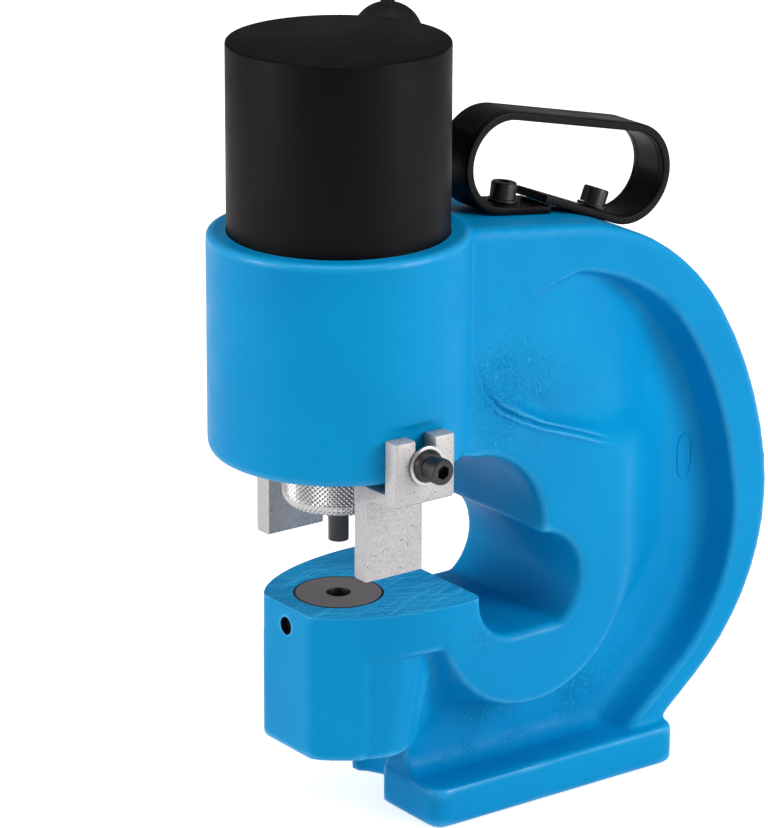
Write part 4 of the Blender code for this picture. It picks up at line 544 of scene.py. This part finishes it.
def raise_crease(casting):
    """The crease where the dish meets the thick boss: a lip below it and a hollow above it, which
    both run out at its ends."""
    line = [Vector((PUNCH_X + across * MM, up * MM)) for across, up in (
        (54.0, 236.0), (56.0, 219.0), (63.4, 209.6), (73.9, 203.5), (85.4, 198.0), (107.3, 190.2),
        (122.2, 184.2), (133.5, 180.0))]
    whole = len(line) - 1

    def from_line(place):
        """How far a place is from the line, how far along it, and how far above it."""
        here = Vector((place.x, place.z))
        away, run, above = 1.0, 0.0, 0.0
        for i, (first, second) in enumerate(zip(line, line[1:])):
            along = second - first
            share = min(max((here - first).dot(along) / along.length_squared, 0), 1)
            gap = here - first - along * share
            if gap.length < away:
                away, run = gap.length, (i + share) / whole
                above = math.copysign(away, along.x * gap.y - along.y * gap.x)
        return away, run, above

    def beside(place):
        return (abs(place.y) > 24 * MM and 165 * MM < place.z < 250 * MM and -45 * MM < place.x < 55 * MM
                and from_line(place)[0] < 13 * MM)

    choose_faces(casting, lambda face: beside(face.calc_center_median()))
    bpy.ops.mesh.subdivide(number_cuts=1)
    close_editing()
    for point in casting.data.vertices:
        if beside(point.co):
            _, run, above = from_line(point.co)
            fade = min(1.0, 3.0 * run, 5.0 * (1 - run))
            lip = 1.5 * MM * math.exp(-((above + 0.6 * MM) / (1.5 * MM)) ** 2)
            reach = 2.0 * MM if above < 3.2 * MM else 5.0 * MM
            hollow = 2.5 * MM * math.exp(-((above - 3.2 * MM) / reach) ** 2)
            point.co.y += math.copysign((lip - hollow) * fade, point.co.y)


def blend(casting, low, high, strength):
    """Let the mould's soft hollows run together on both sides between two corners, in millimetres
    from the punch. Two lighter and wider rounds follow, so that no edge shows where they end."""
    for margin, share in ((0, 1.0), (5, 0.4), (10, 0.2)):
        def reached(point):
            place = (point.x - PUNCH_X, abs(point.y), point.z)
            return all((first - margin) * MM < value < (last + margin) * MM
                       for value, first, last in zip(place, low, high))
        choose_points(casting, reached)
        bpy.ops.mesh.vertices_smooth(factor=0.5, repeat=round(strength * share))
        close_editing()


def mark_rounded_edges(casting):
    """Keep at each point how far it stands out from its neighbours, evened out a little."""
    skin = casting.data
    rise, met = [0.0] * len(skin.vertices), [0] * len(skin.vertices)
    ends = [tuple(edge.vertices) for edge in skin.edges]
    for first, second in ends:
        way = (skin.vertices[first].co - skin.vertices[second].co).normalized()
        rise[first] += skin.vertices[first].normal.dot(way)
        rise[second] -= skin.vertices[second].normal.dot(way)
        met[first] += 1
        met[second] += 1
    rise = [value / max(count, 1) for value, count in zip(rise, met)]
    for _ in range(3):
        shared = rise[:]
        for first, second in ends:
            shared[first] += rise[second]
            shared[second] += rise[first]
        rise = [value / (count + 1) for value, count in zip(shared, met)]
    skin.attributes.new("standing_out", "FLOAT", "POINT").data.foreach_set("value", rise)


def make_cast_mark(casting):
    """A raised oval that the pattern left on the near side of the web, beside the rim."""
    line = bpy.data.curves.new("cast_mark", "CURVE")
    line.dimensions = "3D"
    line.bevel_depth = 0.9 * MM
    line.bevel_resolution = 3
    loop = line.splines.new("POLY")
    count = 48
    loop.points.add(count - 1)
    loop.use_cyclic_u = True
    for i, point in enumerate(loop.points):
        angle = math.tau * i / count
        x = PUNCH_X + (203.5 + 4.3 * math.cos(angle)) * MM
        z = (151.0 + 11.5 * math.copysign(abs(math.sin(angle)) ** 0.6, math.sin(angle))) * MM
        found, where, _, _ = casting.ray_cast(Vector((x, -0.2, z)), Vector((0, 1, 0)))
        point.co = (x, where.y + 0.3 * MM if found else -0.016, z, 1)
    mark = bpy.data.objects.new("cast_mark", line)
    bpy.context.scene.collection.objects.link(mark)
    take(mark)
    bpy.ops.object.convert(target="MESH")
    hand_over(mark, "cast_mark", "frame_casting", 60.0)


def make_casting():
    """The frame: metal is put back where tools cut it, the whole is softened as a mould and two
    coats of enamel leave it, and the same tools then cut it again, crisp."""
    casting = merged_copy("frame_casting")
    choose_faces(casting, lambda face: face.normal.z > 0.99
                 and abs(face.calc_center_median().z - ANVIL_TOP) < 0.05 * MM)
    bpy.ops.mesh.extrude_region_move(TRANSFORM_OT_translate={"value": (0, 0, 4 * MM)})
    close_editing()
    ends = [(PUNCH_X, 0, HOUSING_BOTTOM + 0.5 * MM), (PUNCH_X, 0, HOUSING_TOP)]
    plugs = [bar(*ends, 55 * MM), bar((PUNCH_X, 0, 90 * MM), (PUNCH_X, 0, ANVIL_TOP + 4 * MM), 24 * MM),
             bar((PUNCH_X - 31 * MM, 0, SET_SCREW_HEIGHT), (PUNCH_X - 20 * MM, 0, SET_SCREW_HEIGHT), 6 * MM)]
    for side in (-1, 1):
        plugs.append(bar((PUNCH_X, side * 58 * MM, CLAMP_HEIGHT), (PUNCH_X, side * 44 * MM, CLAMP_HEIGHT),
                         6 * MM))
    take(casting)
    for plug in plugs:
        plug.select_set(True)
    bpy.ops.object.join()
    work(casting, "REMESH", mode="VOXEL", voxel_size=1.5 * MM)
    work(casting, "SMOOTH", factor=0.5, iterations=4)
    blend(casting, (127, 10, 100), (172, 46, 240), 30)
    blend(casting, (40, 10, 30), (78, 40, 88), 30)
    raise_crease(casting)
    work(casting, "DECIMATE", ratio=0.6)
    bore = turn([(53.1 * MM, HOUSING_TOP + 3 * MM), (53.1 * MM, BORE_FLOOR), (27.0 * MM, BORE_FLOOR),
                 (27.0 * MM, 204.0 * MM), (20.6 * MM, 204.0 * MM), (20.6 * MM, NUT_TOP + 6.5 * MM),
                 (25.0 * MM, NUT_TOP + 6.5 * MM), (25.0 * MM, NUT_TOP + 2.5 * MM),
                 (28.6 * MM, NUT_TOP + 2.5 * MM), (28.6 * MM, HOUSING_BOTTOM - 3 * MM)])
    stand(bore, (PUNCH_X, 0, 0))
    flats = [block((PUNCH_X - 17.3 * MM, side * 60 * MM, HOUSING_BOTTOM - 3 * MM),
                   (PUNCH_X + 17.3 * MM, side * 70 * MM, HOUSING_BOTTOM + 27.7 * MM)) for side in (-1, 1)]
    top_cut = block((PUNCH_X - 50 * MM, -70 * MM, ANVIL_TOP),
                    (PUNCH_X + 57 * MM, 70 * MM, ANVIL_TOP + 15 * MM))
    drill(casting, bore, top_cut, *flats)
    pocket = turn([(22 * MM, ANVIL_TOP + 3 * MM), (22 * MM, 92.6 * MM), (9 * MM, 92.6 * MM),
                   (9 * MM, 30 * MM)])
    stand(pocket, (PUNCH_X, 0, 0))
    holes = [bar((PUNCH_X, side * 63 * MM, CLAMP_HEIGHT), (PUNCH_X, side * 42 * MM, CLAMP_HEIGHT), SCREW_HOLE)
             for side in (-1, 1)]
    drill(casting, pocket, *holes)
    drill(casting, bar((PUNCH_X - 35 * MM, 0, SET_SCREW_HEIGHT),
                       (PUNCH_X - 19.5 * MM, 0, SET_SCREW_HEIGHT), 4.5 * MM))
    mark_rounded_edges(casting)
    hand_over(casting, "casting_skin", "frame_casting", 36.0)
    # The tapped hole in front is cut after painting, and its faces get the dark black-oxide finish: bare
    # threads, darkened as painted shade in the hole
    casting.data.materials.append(finishes["black_oxide"])
    for face in casting.data.polygons:
        off_axis = math.hypot(face.center.y, face.center.z - SET_SCREW_HEIGHT)
        if off_axis < 4.6 * MM and face.center.x < PUNCH_X - 22 * MM and abs(face.normal.x) < 0.5:
            face.material_index = 1
    make_cast_mark(casting)


# The cylinder, its ram and the tooling

def make_barrel():
    barrel = turn([(40 * MM, BARREL_TOP - 34.5 * MM), (40 * MM, BARREL_BOTTOM), (52.8 * MM, BARREL_BOTTOM),
                   (52.8 * MM, BARREL_TOP)], 128)
    soften_edges(barrel, 1.4 * MM)
    stand(barrel, (PUNCH_X, 0, 0))
    way = Vector((math.cos(math.radians(36.4)), math.sin(math.radians(36.4)), 0))
    port = Vector((PUNCH_X, 0, BARREL_TOP - 41.5 * MM))
    drill(barrel, bar(port + way * 37 * MM, port + way * 50 * MM, 3 * MM))
    drill(barrel, bar(port + way * 43.5 * MM, port + way * 56 * MM, 8.3 * MM))
    hand_over(barrel, "barrel_shell", "cylinder_barrel")


def make_ram():
    shoulder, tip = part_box("ram_rod")[1].z - 20 * MM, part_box("ram_rod")[1].z
    ram = turn([(8.3 * MM, tip - 29 * MM), (8.3 * MM, tip), (14 * MM, tip), (14 * MM, shoulder),
                (20 * MM, shoulder), (20 * MM, RAM_BOTTOM)], 128)
    soften_edges(ram, 0.4 * MM)
    stand(ram, (PUNCH_X, 0, 0))
    hand_over(ram, "ram_bar", "ram_rod")


def make_nut():
    """The coupling nut: turned with a grid round its side, which is then cut to a diamond knurl."""
    columns = 68
    corner = [(21 * MM + 5.85 * MM * math.cos(math.radians(angle)),
               NUT_BOTTOM + 6 * MM + 6 * MM * math.sin(math.radians(angle))) for angle in (-24, -48, -70)]
    rows = [(26.85 * MM, NUT_TOP - 1 * MM - step * 2.4 * MM) for step in range(11)]
    seat = NUT_BOTTOM + 7.5 * MM
    rings = [(20.3 * MM, NUT_TOP), (26.0 * MM, NUT_TOP), *rows, *corner, (21 * MM, NUT_BOTTOM),
             (8 * MM, NUT_BOTTOM), (8 * MM, seat), (11.3 * MM, seat + 3.3 * MM),
             (11.3 * MM, RAM_BOTTOM - CLEARANCE), (20.3 * MM, RAM_BOTTOM - CLEARANCE), (20.3 * MM, NUT_TOP)]
    nut = turn(rings, columns)
    low = corner[-1][1] - 0.01 * MM

    def on_side(face):
        middle = face.calc_center_median()
        return math.hypot(middle.x, middle.y) > 22 * MM and low < middle.z < rows[0][1]

    def old_grid(edge):
        """An edge of the turned grid: level, or straight up the side."""
        if len(edge.link_faces) != 2 or not all(len(face.verts) == 3 for face in edge.link_faces):
            return False
        first, second = (vert.co for vert in edge.verts)
        swing = abs(first.xy.angle(second.xy)) * columns / math.tau
        return swing < 0.1 or swing > 0.9

    choose_faces(nut, on_side)
    bpy.ops.mesh.poke()
    close_editing()
    choose_edges(nut, old_grid)
    bpy.ops.mesh.dissolve_edges(use_verts=False, use_face_split=False)
    close_editing()
    choose_faces(nut, lambda face: len(face.verts) == 4 and on_side(face))
    bpy.ops.mesh.poke(offset=0.42 * MM)
    close_editing()
    stand(nut, (PUNCH_X, 0, 0))
    hand_over(nut, "knurled_nut", "coupling_nut", 20.0)


def make_punch():
    tip, top = (corner.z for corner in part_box("punch"))
    head_low = NUT_BOTTOM + 11.1 * MM
    punch = turn([(5 * MM, tip), (5 * MM, head_low - 8.3 * MM), (7.7 * MM, head_low - 3.3 * MM),
                  (11 * MM, head_low), (11 * MM, top)], 64)
    soften_edges(punch, 0.25 * MM)
    stand(punch, (PUNCH_X, 0, 0))
    hand_over(punch, "punch_bar", "punch")


def make_die():
    middle = ANVIL_TOP - 10.5 * MM
    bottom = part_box("die")[0].z
    rings = [(5.6 * MM, ANVIL_TOP), (21.7 * MM, ANVIL_TOP), (21.7 * MM, middle + 3 * MM),
             (19.7 * MM, middle), (21.7 * MM, middle - 3 * MM), (21.7 * MM, bottom), (7.5 * MM, bottom),
             (7.5 * MM, ANVIL_TOP - 8 * MM), (5.6 * MM, ANVIL_TOP - 8 * MM), (5.6 * MM, ANVIL_TOP)]
    die = turn(rings, 128)
    soften_edges(die, 0.35 * MM)
    stand(die, (PUNCH_X, 0, 0))
    hand_over(die, "die_button", "die")


def make_set_screw():
    start, end = (corner.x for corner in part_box("die_set_screw"))
    length = end - start
    screw = turn([(4.2 * MM, 0), (4.2 * MM, length - 3.6 * MM), (0.6 * MM, length)], 48)
    soften_edges(screw, 0.3 * MM)
    drill(screw, bar((0, 0, -2 * MM), (0, 0, 4 * MM), 2.6 * MM, 6))
    stand(screw, (start, 0, SET_SCREW_HEIGHT), (1, 0, 0))
    hand_over(screw, "grub_screw", "die_set_screw")


def make_spring(name, node):
    """A compression spring: a wire drawn along its line, with closed end turns."""
    low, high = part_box(node)
    wire, turns, gap = {"return_spring": (3.5 * MM, 8, 0.8 * MM),
                        "coupler_spring": (0.5 * MM, 4, 0.3 * MM)}[node]
    centre = (low + high) / 2
    mean = (high.x - low.x) / 2 - wire
    closed = 2 * wire + gap
    pitch = (high.z - low.z - 2 * wire - 2 * closed) / (turns - 2)
    steps = 28
    line = bpy.data.curves.new(name, "CURVE")
    line.dimensions = "3D"
    line.bevel_depth = wire
    line.bevel_resolution = 4
    line.use_fill_caps = True
    thread = line.splines.new("POLY")
    thread.points.add(turns * steps)
    for i, point in enumerate(thread.points):
        made = i / steps
        rise = closed * (min(made, 1) + max(made - turns + 1, 0)) + pitch * min(max(made - 1, 0), turns - 2)
        point.co = (centre.x + mean * math.cos(math.tau * made), centre.y + mean * math.sin(math.tau * made),
                    low.z + wire + rise, 1)
    spring = bpy.data.objects.new(name, line)
    bpy.context.scene.collection.objects.link(spring)
    take(spring)
    bpy.ops.object.convert(target="MESH")
    hand_over(spring, name, node, 50.0)
    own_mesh(spring)


# Strippers and their clamps

def make_stripper(name):
    """One cast stripper with its mould's rounded edges."""
    stripper = merged_copy("stripper_" + name)
    soften_edges(stripper, 1.1 * MM)
    hand_over(stripper, "stripper_casting_" + name, "stripper_" + name, 45.0)


def washer(radius, hole, thickness):
    ring = turn([(hole, 0), (radius, 0), (radius, thickness), (hole, thickness), (hole, 0)], 72)
    soften_edges(ring, 0.3 * MM)
    return ring


def socket_screw(shank):
    """A socket-head screw with a straight knurl round its head, its seat at the origin."""
    sides = 96
    screw = turn([(3.6 * MM, -shank), (4 * MM, 0.5 * MM - shank), (4 * MM, 0), (HEAD_RADIUS, 0),
                  (HEAD_RADIUS, 0.5 * MM), (HEAD_RADIUS, 6.9 * MM), (6.1 * MM, 7.6 * MM),
                  (5.6 * MM, HEAD_HEIGHT)], sides)
    step = math.tau / sides

    def tooth(edge):
        first, second = (vert.co for vert in edge.verts)
        on_side = first.xy.length > 6.3 * MM and second.xy.length > 6.3 * MM
        upright = abs(first.z - second.z) > 4 * MM
        return on_side and upright and round(math.atan2(first.y, first.x) / step) % 2 == 0

    choose_edges(screw, tooth)
    bpy.ops.transform.resize(value=(0.972, 0.972, 1), center_override=(0, 0, 0))
    close_editing()
    drill(screw, bar((0, 0, 3.5 * MM), (0, 0, 10 * MM), 3.5 * MM, 6))
    return screw


def make_clamps():
    """Washer, cone and screw of each stripper: one set is turned, and a copy of it faces each way."""
    cone = turn([(SCREW_HOLE, 0), (8.2 * MM, 0), (6.6 * MM, 3.4 * MM), (SCREW_HOLE, 3.4 * MM),
                 (SCREW_HOLE, 0)], 72)
    soften_edges(cone, 0.3 * MM)
    plain = {"washer": washer(9.6 * MM, SCREW_HOLE, 1.6 * MM), "spacer": cone,
             "screw": socket_screw(29 * MM)}
    for kind, piece in plain.items():
        for name, side in (("near", -1), ("far", 1)):
            node = "stripper_" + kind + "_" + name
            low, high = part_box(node)
            seat = low.y if side > 0 else high.y
            if kind == "screw":
                seat = side * (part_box("stripper_spacer_far")[1].y + CLEARANCE)
            copied = piece.copy()
            copied.data = piece.data.copy()
            bpy.context.scene.collection.objects.link(copied)
            stand(copied, (PUNCH_X, seat, CLAMP_HEIGHT), (0, side, 0))
            hand_over(copied, "clamp_" + kind + "_" + name, node, 34.0)
        bpy.data.objects.remove(piece, do_unlink=True)


# Carrying handle

def make_handle():
    """The strap is bent round both ends of its loop, its feet lie over each other, and two screws
    with washers hold it."""
    loop, half = 25.3 * MM, STRAP_THICKNESS / 2
    # How steeply each foot's screw stands, in degrees, and lengths along the strap in millimetres
    lean = {"front": 82.7, "rear": 68.45}
    front_foot, rear_foot, to_bend, bend_steps = 29.2, 47.5, 7.8, 28
    groove = 8.3
    ups, seats = {}, {}
    for end, angle in lean.items():
        up = Vector((math.cos(math.radians(angle)), 0, math.sin(math.radians(angle))))
        middle = sum(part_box("handle_washer_" + end), Vector()) / 2
        ups[end] = up
        seats[end] = middle - up * (STRAP_THICKNESS + 2 * CLEARANCE + 0.7 * MM)
    along = {end: Vector((up.z, 0, -up.x)) for end, up in ups.items()}
    front = seats["front"] - along["front"] * to_bend * MM + ups["front"] * (loop + CLEARANCE)
    rear = seats["rear"] + ups["rear"] * (loop + CLEARANCE) + along["rear"] * to_bend * MM
    tilt = math.atan2(rear.z - front.z, rear.x - front.x)
    start = front - ups["front"] * (loop - half) + along["front"] * front_foot * MM
    bpy.ops.object.select_all(action="DESELECT")
    bpy.ops.mesh.primitive_plane_add(size=1, location=start,
                                     rotation=along["front"].to_track_quat("Z", "Y").to_euler())
    strap = bpy.context.object
    strap.scale = (24 * MM, STRAP_THICKNESS, 1)
    bpy.ops.object.transform_apply(location=True, rotation=True, scale=True)
    bpy.ops.object.mode_set(mode="EDIT")
    bpy.ops.mesh.select_mode(type="FACE")
    bpy.ops.mesh.select_all(action="SELECT")
    bpy.ops.mesh.extrude_region_move(TRANSFORM_OT_translate={"value": -along["front"] * front_foot * MM})
    bpy.ops.mesh.spin(steps=bend_steps, angle=math.radians(lean["front"] + 90) - tilt, center=front,
                      axis=(0, -1, 0))
    bpy.ops.mesh.extrude_region_move(TRANSFORM_OT_translate={"value": rear - front})
    bpy.ops.mesh.spin(steps=bend_steps, angle=math.radians(270 - lean["rear"]) + tilt, center=rear,
                      axis=(0, -1, 0))
    bpy.ops.mesh.extrude_region_move(TRANSFORM_OT_translate={"value": -along["rear"] * rear_foot * MM})
    bpy.ops.mesh.select_all(action="SELECT")
    bpy.ops.mesh.remove_doubles(threshold=0.01 * MM)
    bpy.ops.mesh.normals_make_consistent(inside=False)
    for shift in (8.9, groove, 7.7, -7.7, -groove, -8.9):
        bpy.ops.mesh.select_all(action="SELECT")
        bpy.ops.mesh.bisect(plane_co=(0, shift * MM, 0), plane_no=(0, 1, 0))
    close_editing()
    choose_edges(strap, lambda edge: all(abs(abs(vert.co.y) - groove * MM) < 0.1 * MM
                                         for vert in edge.verts))
    bpy.ops.transform.shrink_fatten(value=-0.45 * MM)
    close_editing()
    soften_edges(strap, 0.7 * MM)
    hand_over(strap, "strap_loop", "handle_strap", 34.0)
    thickness = 1.4 * MM
    for end in lean:
        seat = seats[end] + ups[end] * (STRAP_THICKNESS + 2 * CLEARANCE)
        ring = washer(7.4 * MM, SCREW_HOLE, thickness)
        stand(ring, seat, ups[end])
        hand_over(ring, "strap_washer_" + end, "handle_washer_" + end)
        screw = socket_screw(25.5 * MM)
        stand(screw, seat + ups[end] * (thickness + CLEARANCE), ups[end])
        hand_over(screw, "strap_screw_" + end, "handle_screw_" + end, 34.0)


# Oil inlet

def make_dust_cap():
    low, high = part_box("dust_cap")
    top = high.z - 0.8 * MM
    dome = [(0.7 * MM + 16.5 * MM * math.cos(math.radians(angle)),
             top - 16.5 * MM + 16.5 * MM * math.sin(math.radians(angle))) for angle in range(78, -1, -6)]
    rings = [(3.5 * MM, high.z), (3.5 * MM, top), *dome, (17.2 * MM, low.z), (13.8 * MM, low.z),
             (13.8 * MM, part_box("coupler_body")[1].z + CLEARANCE), (4.9 * MM, high.z - 3.8 * MM)]
    cap = turn(rings, 96)
    soften_edges(cap, 0.3 * MM)
    stand(cap, ((low.x + high.x) / 2, (low.y + high.y) / 2, 0))
    hand_over(cap, "rubber_dust_cap", "dust_cap")


def refine(name, node, edge):
    """A piece of which little shows: the node's own form, with softened edges."""
    piece = merged_copy(node)
    soften_edges(piece, edge, 2)
    hand_over(piece, name, node, 34.0)


make_casting()
make_barrel()
make_ram()
make_nut()
make_punch()
make_die()
make_set_screw()
make_spring("return_coil", "return_spring")
make_spring("poppet_coil", "coupler_spring")
for name in ("near", "far"):
    make_stripper(name)
make_clamps()
make_handle()
make_dust_cap()
for name, node, edge in (("piston_body", "piston", 0.3 * MM), ("piston_packing", "piston_seal", 0.4 * MM),
                         ("piston_guide_ring", "piston_wear_ring", 0.3 * MM),
                         ("piston_bolt", "piston_screw", 0.5 * MM), ("ram_bush", "guide_bush", 0.4 * MM),
                         ("ram_wiper", "rod_wiper", 0.3 * MM), ("inlet_bend", "inlet_elbow", 0.4 * MM),
                         ("coupler_half", "coupler_body", 0.3 * MM),
                         ("poppet_valve", "coupler_poppet", 0.2 * MM)):
    refine(name, node, edge)


# Floor, light and camera

def make_floor():
    bpy.ops.object.select_all(action="DESELECT")
    bpy.ops.mesh.primitive_plane_add(size=8.0, location=(0, 0, -0.5 * MM))
    floor = bpy.context.object
    floor.name = "floor"
    made = bpy.data.materials.new("pale_paper_sweep")
    made.use_nodes = True
    tree = made.node_tree
    shader = tree.nodes["Principled BSDF"]
    shader.inputs["Base Color"].default_value = linear("#F4F4F4")
    shader.inputs["Roughness"].default_value = 0.9
    shader.inputs["Specular IOR Level"].default_value = 0.0
    seen = add(tree, "ShaderNodeLightPath")
    direct = add(tree, "ShaderNodeMath", {0: seen.outputs["Is Camera Ray"], 1: seen.outputs["Is Glossy Ray"]},
                 operation="MAXIMUM").outputs[0]
    # The paper glows a little, and more where the lamps don't reach, so it stays white to its edge
    place = add(tree, "ShaderNodeTexCoord").outputs["Object"]
    away = add(tree, "ShaderNodeVectorMath", {0: place}, operation="LENGTH").outputs["Value"]
    share = add(tree, "ShaderNodeMapRange", {"Value": away, "From Min": 0.5, "From Max": 1.5, "To Min": 0.62,
                                             "To Max": 0.95}).outputs["Result"]
    strength = add(tree, "ShaderNodeMath", {0: direct, 1: share}, operation="MULTIPLY").outputs[0]
    glow = add(tree, "ShaderNodeEmission", {"Color": (1, 1, 1, 1), "Strength": strength})
    both = add(tree, "ShaderNodeAddShader", {0: shader.outputs[0], 1: glow.outputs[0]})
    tree.links.new(both.outputs[0], tree.nodes["Material Output"].inputs["Surface"])
    floor.data.materials.append(made)


def make_world():
    world = bpy.data.worlds.new("studio")
    world.use_nodes = True
    bpy.context.scene.world = world
    tree = world.node_tree
    seen = add(tree, "ShaderNodeLightPath")
    direct = add(tree, "ShaderNodeMath", {0: seen.outputs["Is Camera Ray"],
                                          1: seen.outputs["Is Transmission Ray"]}, operation="MAXIMUM")
    strength = add(tree, "ShaderNodeMapRange", {"Value": direct.outputs[0], "To Min": 0.2, "To Max": 1.0})
    tree.nodes["Background"].inputs["Color"].default_value = (1, 1, 1, 1)
    tree.links.new(strength.outputs["Result"], tree.nodes["Background"].inputs["Strength"])


def softbox(name, place, size, power):
    lamp = bpy.data.lights.new(name, "AREA")
    lamp.shape = "RECTANGLE"
    lamp.size, lamp.size_y = size
    lamp.energy = power
    holder = bpy.data.objects.new(name, lamp)
    holder.location = place
    aim = Vector((-0.02, 0, 0.2)) - Vector(place)
    holder.rotation_euler = aim.to_track_quat("-Z", "Y").to_euler()
    bpy.context.scene.collection.objects.link(holder)


def make_camera():
    camera = bpy.data.cameras.new("camera")
    camera.lens = 181.0
    camera.sensor_width = 36.0
    camera.shift_x = 0.0004
    camera.shift_y = 0.0026
    holder = bpy.data.objects.new("camera", camera)
    place = Vector((-1.18235, -1.5292, 0.8322))
    aim = (Vector((-0.06365, 0, 0.2021)) - place).to_track_quat("-Z", "Y").to_matrix().to_4x4()
    holder.matrix_world = Matrix.Translation(place) @ aim @ Matrix.Rotation(math.radians(0.22), 4, "Z")
    bpy.context.scene.collection.objects.link(holder)
    bpy.context.scene.camera = holder


make_floor()
make_world()
softbox("left_softbox", (-1.85, 0.55, 0.9), (0.8, 1.2), 25)
softbox("right_softbox", (0.95, -1.65, 0.9), (0.9, 1.2), 31)
softbox("top_softbox", (-0.2, -0.2, 1.9), (1.2, 1.2), 11)
make_camera()
bpy.context.scene.view_settings.view_transform = "Standard"
